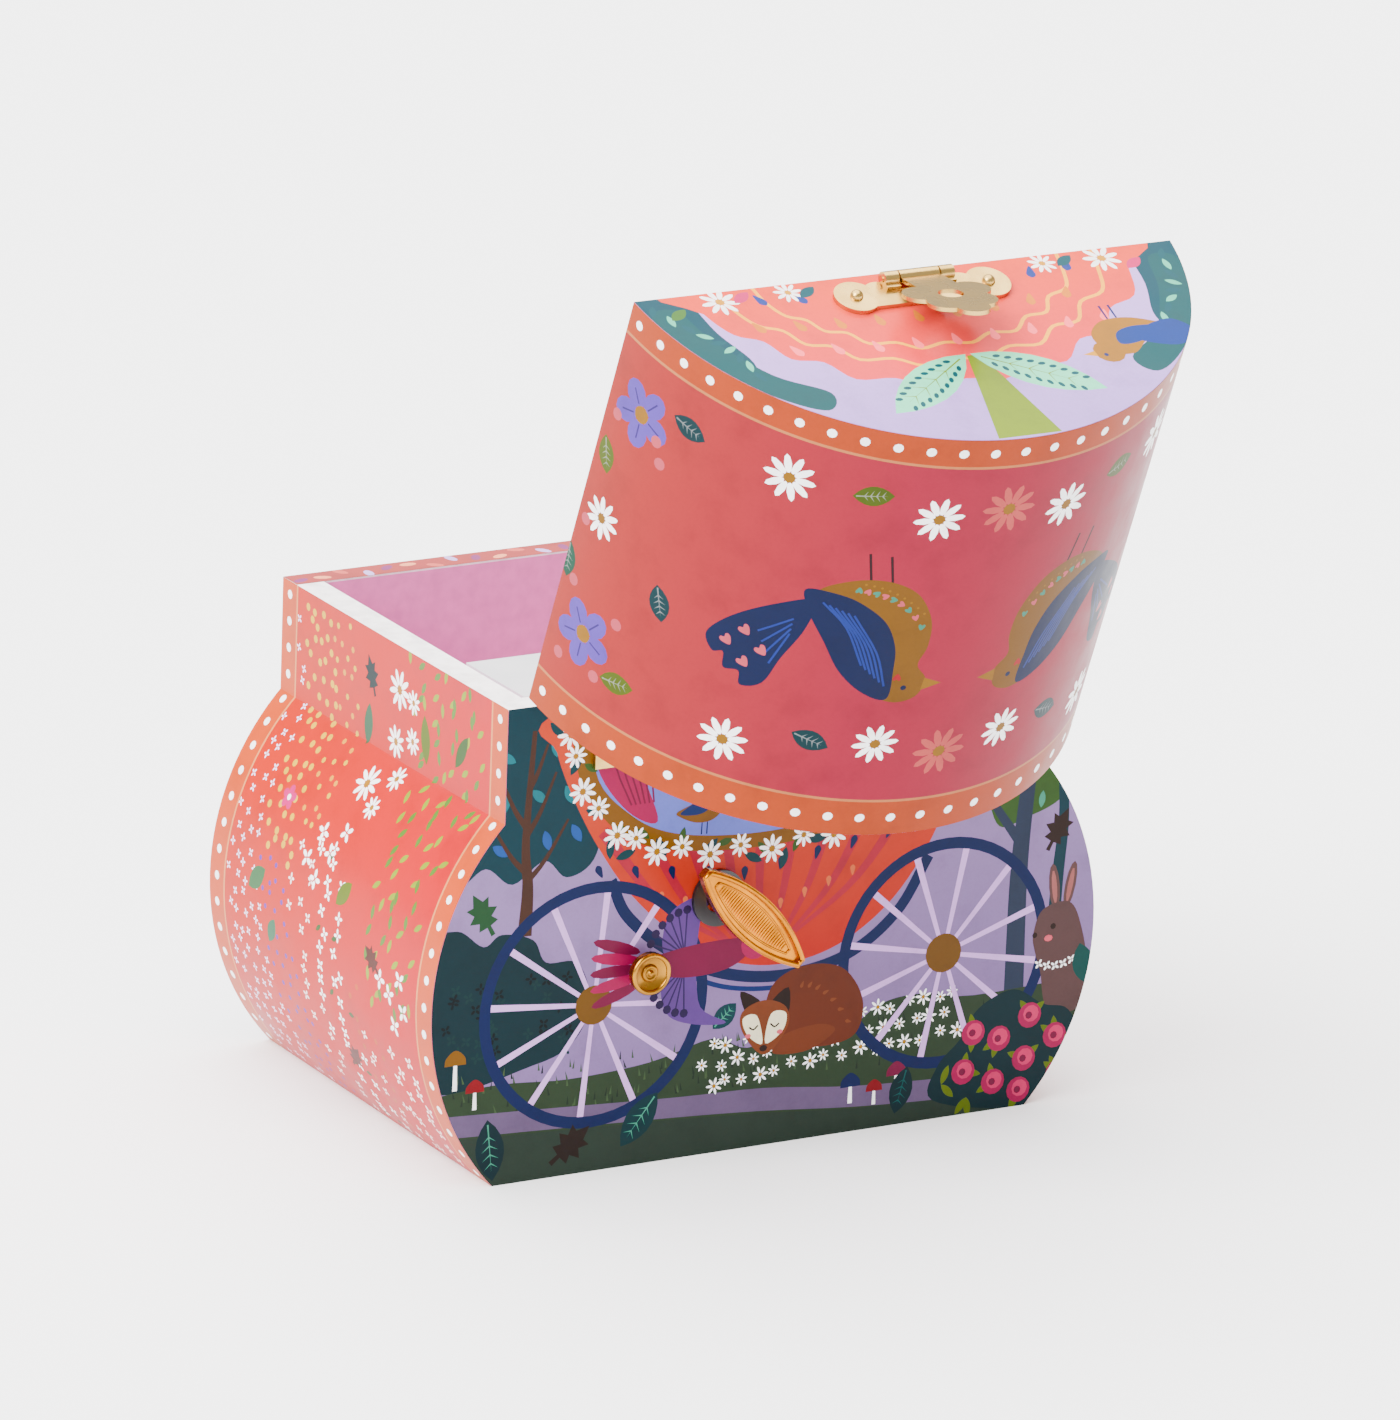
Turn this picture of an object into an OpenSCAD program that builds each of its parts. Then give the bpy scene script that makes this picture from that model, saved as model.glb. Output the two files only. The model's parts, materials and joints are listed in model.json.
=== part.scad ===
// Coach-shaped musical jewellery box with a turning dancer.
// Row frame: X across the box, -Y is the front with the hasp, +Y the back with the
// winding key, Z up from the surface the box stands on. Millimetres.
// The lid is drawn standing open on its stop; open_lid() turns it there from shut.

/* [Box] */
// Width across the belly
belly_w = 150; // [140:1:170]
// Width across the straight neck
neck_w = 120; // [110:1:130]
// Height of the widest line above the floor
belly_z = 37; // [34:1:40]
// Width where the sides meet the floor
foot_w = 121; // [116:1:124]
// Height of the box up to its rim
box_h = 98; // [94:1:110]
// Depth over the front and back panels
box_d = 96; // [90:1:120]
// Thickness of the front and back panels
panel_t = 6; // [5:0.5:7]
// Thickness of the curved side walls
wall_t = 6; // [4:0.5:7]
// Thickness of the bottom board
bottom_t = 4; // [3:0.5:6]
// Thickness of the lining pad on the bottom board
pad_t = 2.5; // [1.5:0.5:5]

/* [Stage] */
// Depth of the stage over the movement, partition included
stage_d = 24.5; // [24.5:0.5:28]
// Thickness of the partition in front of the movement
partition_t = 3; // [2:0.5:3]
// Thickness of the board under the mirror
stage_t = 3.5; // [3:0.5:5]
// Thickness of the stage mirror
mirror_t = 1.5; // [1:0.5:2]

/* [Lid] */
// Width of the lid's flat opening
lid_w = 118; // [112:1:119]
// Height of the lid's arch above its rim
lid_h = 52.7; // [50:0.1:56]
// Thickness of the lid's two flat ends
lid_panel_t = 5; // [4:0.5:6]
// Thickness of the bent lid skin
lid_skin_t = 3; // [2:0.5:4]
// Angle from shut to the stop, as drawn
lid_open = 112.3; // [100:0.1:115]
// Gap between the shut lid and the rim
lid_gap = 0.4; // [0.3:0.1:1]

/* [Hinges] */
// Distance of the hinge line behind the back panel
hinge_out = 4.4; // [4.2:0.1:5]
// Outside radius of a knuckle
knuckle_r = 2.4; // [2:0.1:2.4]
// Radius of the hinge pin
pin_r = 1; // [0.8:0.1:1.2]
// Width of one hinge
hinge_w = 18; // [14:1:24]
// Distance of each hinge from the middle
hinge_x = 32; // [25:1:38]

/* [Hasp] */
// Width over the two ears
hasp_w = 38; // [34:1:44]
// Distance from the hasp pin to the middle of the flower
hasp_reach = 13; // [12:0.5:15]
// Radius of the flower over its petals
flower_r = 9.5; // [8:0.5:10]
// Angle from shut to the stop, as drawn
hasp_open = 160; // [140:1:165]

/* [Key and stop knob] */
// Sideways place of the winding arbor
arbor_x = 12; // [8:0.5:14]
// Height of the winding arbor
arbor_z = 53.5; // [52:0.5:56]
// Length of the key grip
key_l = 31; // [24:1:34]
// Width of the key grip
key_w = 9.5; // [8:0.5:14]
// Distance from the back panel to the face of the key grip
key_out = 15; // [12:0.5:20]
// Diameter of the stop knob's head
knob_d = 8.4; // [6:0.2:10]
// Travel of the stop knob
knob_travel = 2.5; // [1.5:0.5:2.5]

/* [Movement] */
// Outside radius of the spring barrel
barrel_r = 12.5; // [12:0.5:13]
// Teeth on the crown gear
crown_n = 48; // [48]
// Teeth on each pinion driven by the crown gear
crown_pinion_n = 12; // [12]
// Radius of the pinned cylinder
cylinder_r = 6; // [5.5:0.1:6]
// Length of the pinned cylinder
cylinder_l = 18; // [16:0.5:18]
// Notes, one comb tooth each
notes = 18; // [12:1:18]
// Radius swept by the fan
fan_r = 5; // [4:0.1:5]

/* [Figure] */
// Height of the dancer above the stage
dancer_h = 44; // [38:1:46]
// Radius of the tutu
tutu_r = 11; // [9:0.5:11.5]
// Sideways place of the dancer
dancer_x = 0; // [0]

/* [Hidden] */
$fn = 64;
eps = 0.01;
// running clearance between a shaft and its hole, on the radius
run = 0.05;

back_y = box_d/2;
inner_y = back_y - panel_t;
// The belly is one circle: through the belly line and the foot of the wall.
belly_rise = belly_w/2 - foot_w/2;
belly_r = (belly_rise*belly_rise + belly_z*belly_z)/(2*belly_rise);
belly_cx = belly_w/2 - belly_r;
neck_x = neck_w/2;
kink_z = belly_z + sqrt(pow(belly_r, 2) - pow(neck_x - belly_cx, 2));

stage_y0 = inner_y - stage_d;
stage_top = box_h;
stage_board_top = stage_top - mirror_t;
stage_board_z = stage_board_top - stage_t;
movement_y0 = stage_y0 + partition_t;

lid_z = box_h + lid_gap;
lid_r = (pow(lid_w/2, 2) + lid_h*lid_h)/(2*lid_h);
lid_cz = lid_z + lid_h - lid_r;
hinge_y = back_y + hinge_out;
hinge_z = box_h + lid_gap/2;
leaf_t = 1.2;
leaf_h = 13;
leaf_gap = 1.2;
knuckle_gap = 0.3;
hinge_mid_w = hinge_w/3;
hinge_screw_r = 0.9;
hinge_screw_l = 4;
hinge_screw_dx = hinge_w/2 - 3.5;

hasp_t = 1;
hasp_pin_z = lid_z + 4;
hasp_knuckle_r = 1.5;
hasp_pin_r = 0.6;
hasp_pin_y = -back_y - hasp_t - hasp_knuckle_r + 0.6;
flap_t = 0.8;
flap_w = 9;
flap_knuckle_w = 8.6;
flower_hole_r = 2.5;
post_r = 1.5;
post_head_r = 2.2;
post_z = hasp_pin_z - hasp_reach;

// Movement: everything hangs on the bedplate, which is screwed to the back panel.
bedplate_t = 2.5;
bedplate_y = inner_y - bedplate_t;
axle_y = bedplate_y - 7;
barrel_y0 = movement_y0 + 1;
crown_pitch_r = barrel_r - 2;
crown_pitch = 2*PI*crown_pitch_r/crown_n;
pinion_pitch_r = crown_pitch*crown_pinion_n/(2*PI);
crown_face_w = 1.2;
crown_y = axle_y - pinion_pitch_r;
tooth_up = 0.3;
tooth_down = 0.55;
crown_tooth_w = 0.4;
cover_t = 1;
cover_y1 = crown_y - tooth_down;
arbor_r = 1.5;
ratchet_n = 12;
ratchet_r = 4.4;
ratchet_y = bedplate_y - 2.6;
ratchet_t = 1.2;

train_m = 1/3;
wheel_n = 36;
leaf_n = 9;
train_c = train_m*(wheel_n + leaf_n)/2;
plate_a_x = arbor_x + barrel_r + 0.4;
plate_t = 0.8;
fast_x = plate_a_x + plate_t + 0.5;
gear_t = 1.2;
slow_x = fast_x + gear_t + 0.7;
plate_b_x = slow_x + gear_t + 0.6;
cylinder_x0 = plate_b_x + plate_t + 0.6;
cylinder_x1 = cylinder_x0 + cylinder_l;
end_bracket_x = cylinder_x1 + 0.8;
bracket_t = 1;
axle_r = 0.6;
// governor wheel and fan axles, each one centre distance further down the train
governor_lean = 32;
gov_y = axle_y - train_c*sin(governor_lean);
gov_z = arbor_z - train_c*cos(governor_lean);
fan_lean = 36;
fan_y = gov_y + train_c*sin(fan_lean);
fan_z = gov_z - train_c*cos(fan_lean);
drum_r = 3;
rod_r = 0.8;
knob_x = slow_x + gear_t/2;
knob_z = fan_z;
rod_tip_y = fan_y + drum_r + 0.3 + knob_travel;
knob_head_t = 1.6;
knob_gap = 0.4;
knob_y = back_y + knob_gap + knob_travel;
pin_r_note = 0.18;
pin_up = 0.5;
comb_tip_z = arbor_z + cylinder_r + pin_up + 0.3;
comb_l = 17;
comb_t = 1;
comb_foot_l = 6;

// Turning figure: crown pinion, upright shaft, a pair of spur gears, spindle.
dancer_y = axle_y - 4;
shaft_r = 0.9;
transfer_d = norm([arbor_x - dancer_x, axle_y - dancer_y]);
transfer_n = 24;
figure_n = 30;
transfer_m = 2*transfer_d/(transfer_n + figure_n);
bridge_z = stage_board_z - 9;
bridge_t = 1;
transfer_z = bridge_z + 2.5;
transfer_t = 1.6;
drive_pinion_z = arbor_z + crown_pitch_r - crown_face_w/2;
shaft_bracket_z = drive_pinion_z + 3;
spindle_r = 1.25;
bush_r = 3;
spring_h = 7;

// ---- helpers ----------------------------------------------------------------

// A cylinder along X from x0 to x1, or along Y from y0 to y1.
module rod_x(x0, x1, y, z, r) translate([x0, y, z]) rotate([0, 90, 0]) cylinder(r = r, h = x1 - x0);
module rod_y(y0, y1, x, z, r) translate([x, y1, z]) rotate([90, 0, 0]) cylinder(r = r, h = y1 - y0);

// A shape drawn in X and Z, from y0 to y1.
module slab_y(y0, y1) translate([0, y1, 0]) rotate([90, 0, 0]) linear_extrude(height = y1 - y0) children();

// A shape drawn in X and Y about its own origin, from x0 to x1, standing along X:
// its drawn x runs along -Z and its drawn y along Y.
module slab_x(x0, x1, y, z) translate([x0, y, z]) rotate([0, 90, 0]) linear_extrude(height = x1 - x0) children();

// Turns the shut lid, and what is on it, open onto its stop.
module open_lid() translate([0, hinge_y, hinge_z]) rotate([-lid_open, 0, 0]) translate([0, -hinge_y, -hinge_z]) children();

// Turns the shut hasp flap up onto its stop, in the shut lid's frame.
module open_hasp() translate([0, hasp_pin_y, hasp_pin_z]) rotate([-hasp_open, 0, 0]) translate([0, -hasp_pin_y, -hasp_pin_z]) children();

// Flat-sided gear with trapezoid teeth; a tooth stands at angle phase.
module spur_2d(n, m, bore, phase) {
  pitch_r = n*m/2;
  root = pitch_r - 1.1*m;
  tip = pitch_r + 0.8*m;
  base_w = 0.46*PI*m;
  tip_w = 0.2*PI*m;
  difference() {
    union() {
      circle(r = root);
      for (i = [0:n - 1])
        rotate(phase + i*360/n)
          polygon([[root - 0.3*m, -base_w/2], [tip, -tip_w/2], [tip, tip_w/2], [root - 0.3*m, base_w/2]]);
    }
    circle(r = bore);
  }
}

// ---- box --------------------------------------------------------------------

// Front outline of the box, or of its inside at a given wall thickness.
module outline(t) {
  for (side = [0, 1]) mirror([side, 0])
    union() {
      intersection() {
        translate([belly_cx, belly_z]) circle(r = belly_r - t, $fn = 128);
        square([belly_w, kink_z]);
      }
      square([neck_x - t, box_h]);
    }
}

module back_holes() {
  rod_y(inner_y - 1, back_y + 1, arbor_x, arbor_z, grommet_r);
  rod_y(inner_y - 1, back_y + 1, knob_x, knob_z, rod_r + 0.4);
  for (p = movement_screw_at) rod_y(inner_y - 1, inner_y + screw_l, p.x, p.y, screw_r);
  for (s = [-1, 1], x = [-1, 1])
    rod_y(back_y - hinge_screw_l, back_y + 1, s*hinge_x + x*hinge_screw_dx, box_h - leaf_gap - leaf_h/2, hinge_screw_r);
}

module front_panel() color("coral") difference() {
  slab_y(-back_y, -inner_y) outline(0);
  rod_y(-back_y - 1, -back_y + 4, 0, post_z, post_r);
}

module back_panel() color("plum") difference() {
  slab_y(inner_y, back_y) outline(0);
  back_holes();
}

module side_wall() slab_y(-inner_y, inner_y) intersection() {
  difference() { outline(0); outline(wall_t); }
  square([belly_w, box_h]);
}
module right_side_wall() color("salmon") side_wall();
module left_side_wall() color("salmon") mirror([1, 0, 0]) side_wall();

// A level board that fills the inside of the box between two heights.
module level_board(z0, z1, y0, y1, gap) slab_y(y0, y1) intersection() {
  outline(wall_t + gap);
  translate([-belly_w/2, z0]) square([belly_w, z1 - z0]);
}
module bottom_board() color("pink") level_board(0, bottom_t, -inner_y, inner_y, 0);
module floor_pad() color("hotpink")
  level_board(bottom_t + eps, bottom_t + pad_t, -inner_y + 0.3, stage_y0 - 0.3, 0.5);
module partition() color("pink")
  level_board(bottom_t, stage_board_z, stage_y0, stage_y0 + partition_t, 0);

stage_x = neck_x - wall_t - 0.8;
module stage_slab(z0, z1, hole_r) difference() {
  translate([-stage_x, stage_y0, z0]) cube([2*stage_x, stage_d - 0.3, z1 - z0]);
  translate([dancer_x, dancer_y, z0 - 1]) cylinder(r = hole_r, h = z1 - z0 + 2);
}
module stage_board() color("white") stage_slab(stage_board_z, stage_board_top, bush_r);
module stage_mirror() color("lavender") stage_slab(stage_board_top, stage_top, bush_r + 1);

grommet_r = 4.5;
module key_grommet() color("black") difference() {
  union() {
    rod_y(inner_y, back_y, arbor_x, arbor_z, grommet_r);
    rod_y(back_y, back_y + 1, arbor_x, arbor_z, grommet_r + 1.3);
  }
  rod_y(inner_y - 1, back_y + 2, arbor_x, arbor_z, 3);
}

module catch_post() color("gold") {
  rod_y(-back_y - 2.6, -back_y + 4, 0, post_z, post_r);
  rod_y(-back_y - 0.5, -back_y, 0, post_z, 3);
  translate([0, -back_y - 2.6, post_z]) sphere(r = post_head_r);
}

// ---- movement frame -----------------------------------------------------------

screw_r = 0.9;
screw_l = 4.5;
bedplate_x0 = arbor_x - 16;
bedplate_x1 = end_bracket_x + bracket_t + 0.8;
bedplate_z0 = fan_z - 6;
bedplate_z1 = comb_tip_z + comb_l + 2;
movement_screw_at = [
  [bedplate_x0 + 3, bedplate_z0 + 3], [bedplate_x0 + 3, bedplate_z1 - 3],
  [bedplate_x1 - 3, bedplate_z0 + 3]
];

module bedplate() color("goldenrod") difference() {
  translate([bedplate_x0, bedplate_y, bedplate_z0])
    cube([bedplate_x1 - bedplate_x0, bedplate_t, bedplate_z1 - bedplate_z0]);
  rod_y(bedplate_y - 1, inner_y + 1, arbor_x, arbor_z, arbor_r + run);
  rod_y(bedplate_y - 1, inner_y + 1, knob_x, knob_z, rod_r + run);
  for (p = movement_screw_at) rod_y(bedplate_y - 1, inner_y + 1, p.x, p.y, screw_r + 0.2);
}

module movement_screws() color("silver") for (p = movement_screw_at) difference() {
  union() {
    rod_y(bedplate_y - 1.2, bedplate_y, p.x, p.y, 2);
    rod_y(bedplate_y, inner_y + screw_l, p.x, p.y, screw_r);
  }
  translate([p.x - 3, bedplate_y - 1.3, p.y - 0.25]) cube([6, 0.7, 0.5]);
}

// Two plates carry the train's axles; each stands on the bedplate.
module train_plate(x, cylinder_hole) difference() {
  slab_x(x, x + plate_t, 0, 0)
    polygon([[-(fan_z - 2.5), bedplate_y], [-(fan_z - 2.5), fan_y - 2], [-gov_z, gov_y - 2],
             [-(arbor_z + 2.5), axle_y - 2.5], [-(arbor_z + 2.5), bedplate_y]]);
  rod_x(x - 1, x + 2, axle_y, arbor_z, cylinder_hole + run);
  rod_x(x - 1, x + 2, gov_y, gov_z, axle_r + run);
  rod_x(x - 1, x + 2, fan_y, fan_z, axle_r + run);
}
module governor_frame() color("silver") {
  train_plate(plate_a_x, shaft_r);
  train_plate(plate_b_x, shaft_r);
}

// Lugs that carry the far end of the cylinder and the upright shaft.
module bearing_brackets() color("silver") {
  difference() {
    translate([end_bracket_x, axle_y - 2.5, arbor_z - 3]) cube([bracket_t, bedplate_y - axle_y + 2.5, 6]);
    rod_x(end_bracket_x - 1, end_bracket_x + 2, axle_y, arbor_z, shaft_r + run);
  }
  difference() {
    translate([arbor_x - 3, axle_y - 2.5, shaft_bracket_z]) cube([6, bedplate_y - axle_y + 2.5, bracket_t]);
    translate([arbor_x, axle_y, shaft_bracket_z - 1]) cylinder(r = shaft_r + run, h = 3);
  }
}

comb_y = axle_y - comb_t/2;
note_step = (cylinder_l - 1)/notes;
comb_x0 = cylinder_x0 + 0.5;
comb_screw_x = [comb_x0 + 3, comb_x0 + notes*note_step - 3];
comb_screw_z = comb_tip_z + comb_l - comb_foot_l/2;

// Steel comb: one tooth a note, the long bass teeth at the barrel's end.
module comb() color("lightgrey") difference() {
  translate([comb_x0, comb_y, comb_tip_z]) cube([notes*note_step, comb_t, comb_l]);
  for (i = [1:notes - 1])
    translate([comb_x0 + i*note_step - 0.15, comb_y - 1, comb_tip_z - 1])
      cube([0.3, comb_t + 2, comb_l - comb_foot_l + 1 - i*3/notes]);
  translate([comb_x0 - 1, comb_y - 1, comb_tip_z - 1]) cube([notes*note_step + 2, 1 + comb_t/2, comb_l - comb_foot_l]);
  for (x = comb_screw_x) rod_y(comb_y - 1, comb_y + 2, x, comb_screw_z, 1);
}

module comb_base() color("goldenrod") difference() {
  translate([comb_x0, comb_y + comb_t, comb_tip_z + comb_l - comb_foot_l])
    cube([notes*note_step, bedplate_y - comb_y - comb_t, comb_foot_l]);
  for (x = comb_screw_x) rod_y(comb_y, bedplate_y + 1, x, comb_screw_z, 1);
}

module comb_screws() color("silver") for (x = comb_screw_x) difference() {
  union() {
    rod_y(comb_y - 1, comb_y, x, comb_screw_z, 2);
    rod_y(comb_y, comb_y + 4, x, comb_screw_z, 1);
  }
  translate([x - 3, comb_y - 1.1, comb_screw_z - 0.25]) cube([6, 0.6, 0.5]);
}

// Plate under the stage that steadies the upright shaft and the spindle.
module gear_bridge() color("silver") {
  x0 = dancer_x - 8;
  x1 = arbor_x + 8;
  difference() {
    translate([x0, dancer_y - 4, bridge_z]) cube([x1 - x0, inner_y - dancer_y + 4, bridge_t]);
    translate([arbor_x, axle_y, bridge_z - 1]) cylinder(r = shaft_r + run, h = 3);
    translate([dancer_x, dancer_y, bridge_z - 1]) cylinder(r = spindle_r + run, h = 3);
  }
  translate([x0, inner_y - 1, bridge_z - 4]) cube([x1 - x0, 1, 4.5]);
}

module stage_bush() color("gold") difference() {
  translate([dancer_x, dancer_y, stage_board_z]) cylinder(r = bush_r, h = stage_top - stage_board_z);
  translate([dancer_x, dancer_y, stage_board_z - 1]) cylinder(r = spindle_r + run, h = stage_t + mirror_t + 2);
}

// Click beside the ratchet's teeth, on its rivet in the bedplate.
module click_pawl() color("silver") {
  px = arbor_x - 8.5;
  slab_y(ratchet_y, ratchet_y + ratchet_t)
    polygon([[px - 1.2, arbor_z + 1.2], [px + 0.8, arbor_z + 1.4], [arbor_x - ratchet_r - 0.35, arbor_z + 0.5],
             [arbor_x - ratchet_r - 0.35, arbor_z + 0.1], [px + 0.8, arbor_z - 1], [px - 1.2, arbor_z - 1]]);
  rod_y(ratchet_y + ratchet_t, bedplate_y, px, arbor_z + 0.1, 0.8);
}

// ---- barrel, arbor and key ------------------------------------------------------

module spring_barrel() color("gold") difference() {
  rod_y(barrel_y0, cover_y1 - cover_t, arbor_x, arbor_z, barrel_r);
  rod_y(barrel_y0 + 0.8, cover_y1 + 1, arbor_x, arbor_z, barrel_r - 0.8);
  rod_y(barrel_y0 - 1, barrel_y0 + 2, arbor_x, arbor_z, arbor_r + run);
}

module crown_gear() color("gold") {
  difference() {
    rod_y(cover_y1 - cover_t, cover_y1, arbor_x, arbor_z, barrel_r);
    rod_y(cover_y1 - cover_t - 1, cover_y1 + 1, arbor_x, arbor_z, arbor_r + run);
  }
  for (i = [0:crown_n - 1])
    translate([arbor_x, 0, arbor_z]) rotate([0, i*360/crown_n, 0])
      translate([crown_pitch_r - crown_face_w/2, cover_y1 - eps, -crown_tooth_w/2])
        cube([crown_face_w, crown_y + tooth_up - cover_y1 + eps, crown_tooth_w]);
}

// Flat spiral, run down onto the barrel's wall, its outer end hooked there.
spring_turns = 6;
spring_r0 = 2.6;
spring_r1 = barrel_r - 1.15;
spring_t = 0.35;
function spiral(r0, r1, n, steps) = [for (i = [0:steps])
  let (a = 360*n*i/steps, r = r0 + (r1 - r0)*i/steps) [r*cos(a), r*sin(a)]];
module mainspring() color("slategray") translate([arbor_x, 0, arbor_z])
  slab_y(barrel_y0 + 1.2, cover_y1 - cover_t - 0.4)
    polygon(concat(spiral(spring_r0, spring_r1, spring_turns, 120),
      [for (p = [120:-1:0]) spiral(spring_r0 + spring_t, spring_r1 + spring_t, spring_turns, 120)[p]]));

module winding_arbor() color("silver") {
  rod_y(barrel_y0 - 0.4, inner_y + 1.4, arbor_x, arbor_z, arbor_r);
}

module ratchet_wheel() color("silver") slab_y(ratchet_y, ratchet_y + ratchet_t) translate([arbor_x, arbor_z])
  difference() {
    polygon([for (i = [0:2*ratchet_n - 1])
      let (r = i % 2 == 0 ? ratchet_r : ratchet_r - 0.9, a = 180 - (floor(i/2) + (i % 2)*0.06)*360/ratchet_n)
      [r*cos(a), r*sin(a)]]);
    circle(r = arbor_r);
  }

module key_stem() color("gold") difference() {
  rod_y(inner_y + 0.4, back_y + key_out - 2, arbor_x, arbor_z, 2.4);
  rod_y(inner_y - 1, inner_y + 1.4, arbor_x, arbor_z, arbor_r);
}

// Long oval grip with blunt tips, a raised rim and a sunk middle.
module grip_2d(inset) intersection() {
  for_r = (pow(key_l*0.56, 2) + pow(key_w/2, 2))/key_w;
  translate([0, for_r - key_w/2]) circle(r = for_r - inset, $fn = 128);
  translate([0, key_w/2 - for_r]) circle(r = for_r - inset, $fn = 128);
  square([key_l - 2*inset, key_w], center = true);
}
module key_grip() color("gold") translate([arbor_x, 0, arbor_z]) difference() {
  slab_y(back_y + key_out - 2, back_y + key_out) rotate(key_turn) grip_2d(0);
  slab_y(back_y + key_out - 0.7, back_y + key_out + 1) rotate(key_turn) grip_2d(1.1);
}
key_turn = 44;

// ---- cylinder and governor --------------------------------------------------------

module cylinder_shaft() color("silver")
  rod_x(arbor_x + crown_pitch_r - crown_face_w/2 - 0.6, end_bracket_x + bracket_t + 0.6, axle_y, arbor_z, shaft_r);

// Pinion for the crown gear, a gap between two teeth facing the crown.
module crown_pinion_2d(gap_at) difference() {
  union() {
    circle(r = pinion_pitch_r - tooth_down);
    for (i = [0:crown_pinion_n - 1])
      rotate(gap_at + (i + 0.5)*360/crown_pinion_n)
        polygon([[1, -0.3], [pinion_pitch_r + tooth_up, -0.14], [pinion_pitch_r + tooth_up, 0.14], [1, 0.3]]);
  }
  circle(r = shaft_r);
}
module cylinder_pinion() color("gold")
  slab_x(arbor_x + crown_pitch_r - crown_face_w/2, arbor_x + crown_pitch_r + crown_face_w/2, axle_y, arbor_z)
    crown_pinion_2d(-90);

// slab_x draws y along Y and x along -Z, so a direction (dy, dz) is at this angle.
function face_angle(dy, dz) = atan2(dy, -dz);
to_gov = face_angle(gov_y - axle_y, gov_z - arbor_z);
to_fan = face_angle(fan_y - gov_y, fan_z - gov_z);

module cylinder_gear() color("gold")
  slab_x(slow_x, slow_x + gear_t, axle_y, arbor_z) spur_2d(wheel_n, train_m, shaft_r, to_gov);

module governor_wheel() color("gold") {
  rod_x(plate_a_x - 0.4, plate_b_x + plate_t + 0.2, gov_y, gov_z, axle_r);
  slab_x(slow_x, slow_x + gear_t, gov_y, gov_z) spur_2d(leaf_n, train_m, axle_r, to_gov + 180 + 180/leaf_n);
  slab_x(fast_x, fast_x + gear_t, gov_y, gov_z) spur_2d(wheel_n, train_m, axle_r, to_fan);
}

module pin_cylinder() color("gold") {
  difference() {
    rod_x(cylinder_x0, cylinder_x1, axle_y, arbor_z, cylinder_r);
    rod_x(cylinder_x0 - 1, cylinder_x1 + 1, axle_y, arbor_z, shaft_r);
  }
  for (i = [0:notes - 1], k = [0:2])
    translate([comb_x0 + (i + 0.5)*note_step, axle_y, arbor_z])
      rotate([5 + 10*((i*13 + k*11 + i*k*5) % 36), 0, 0])
        translate([-pin_r_note, -pin_r_note, cylinder_r - 0.5]) cube([2*pin_r_note, 2*pin_r_note, pin_up + 0.5]);
}

fan_x0 = plate_b_x + plate_t + 0.8;
module fan_arbor() color("silver") difference() {
  union() {
    rod_x(plate_a_x - 0.4, fan_x0 + 6.4, fan_y, fan_z, axle_r);
    rod_x(slow_x, slow_x + gear_t, fan_y, fan_z, drum_r);
  }
}
module fan_pinion() color("gold")
  slab_x(fast_x, fast_x + gear_t, fan_y, fan_z) spur_2d(leaf_n, train_m, axle_r, to_fan + 180 + 180/leaf_n);
module fan_blades() color("gold") difference() {
  translate([fan_x0, fan_y - 0.2, fan_z - fan_r]) cube([6, 0.4, 2*fan_r]);
  rod_x(fan_x0 - 1, fan_x0 + 7, fan_y, fan_z, axle_r);
}

// Knob and its rod, drawn pulled out: the movement may play.
module stop_knob() color("gold") difference() {
  union() {
    rod_y(rod_tip_y, knob_y + 0.5, knob_x, knob_z, rod_r);
    rod_y(knob_y, knob_y + knob_head_t, knob_x, knob_z, knob_d/2);
  }
  translate([knob_x, knob_y + knob_head_t + knob_dish_r - 1, knob_z]) sphere(r = knob_dish_r);
}
knob_dish_r = (pow(knob_d/2 - 0.7, 2) + 1)/2;

// ---- turning figure ----------------------------------------------------------------

module drive_shaft() color("silver")
  translate([arbor_x, axle_y, drive_pinion_z - 0.6]) cylinder(r = shaft_r, h = transfer_z + transfer_t + 0.6 - drive_pinion_z + 0.6);
module drive_pinion() color("gold")
  translate([arbor_x, axle_y, drive_pinion_z]) linear_extrude(height = crown_face_w) crown_pinion_2d(-90);
to_figure = atan2(dancer_y - axle_y, dancer_x - arbor_x);
module transfer_gear() color("gold")
  translate([arbor_x, axle_y, transfer_z]) linear_extrude(height = transfer_t)
    spur_2d(transfer_n, transfer_m, shaft_r, to_figure);
module figure_gear() color("gold")
  translate([dancer_x, dancer_y, transfer_z]) linear_extrude(height = transfer_t)
    spur_2d(figure_n, transfer_m, spindle_r, to_figure + 180 + 180/figure_n);
disc_z = stage_top + 0.4;
disc_t = 1.4;
module figure_spindle() color("silver")
  translate([dancer_x, dancer_y, bridge_z + 0.2 - bridge_t]) cylinder(r = spindle_r, h = disc_z - bridge_z - 0.2 + bridge_t);
module figure_disc() color("pink")
  translate([dancer_x, dancer_y, disc_z]) cylinder(r = 6, h = disc_t);

// Close-wound spring foot, one ring a turn.
spring_wire = 0.7;
spring_rings = floor(spring_h/(spring_wire*1.1));
foot_r = 2.2;
spring_z = disc_z + disc_t;
module figure_spring() color("silver") for (i = [0:spring_rings - 1])
  translate([dancer_x, dancer_y, spring_z + spring_wire/2 + i*spring_wire])
    rotate_extrude() translate([foot_r, 0]) circle(r = spring_wire/2 - eps/2, $fn = 16);

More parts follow.
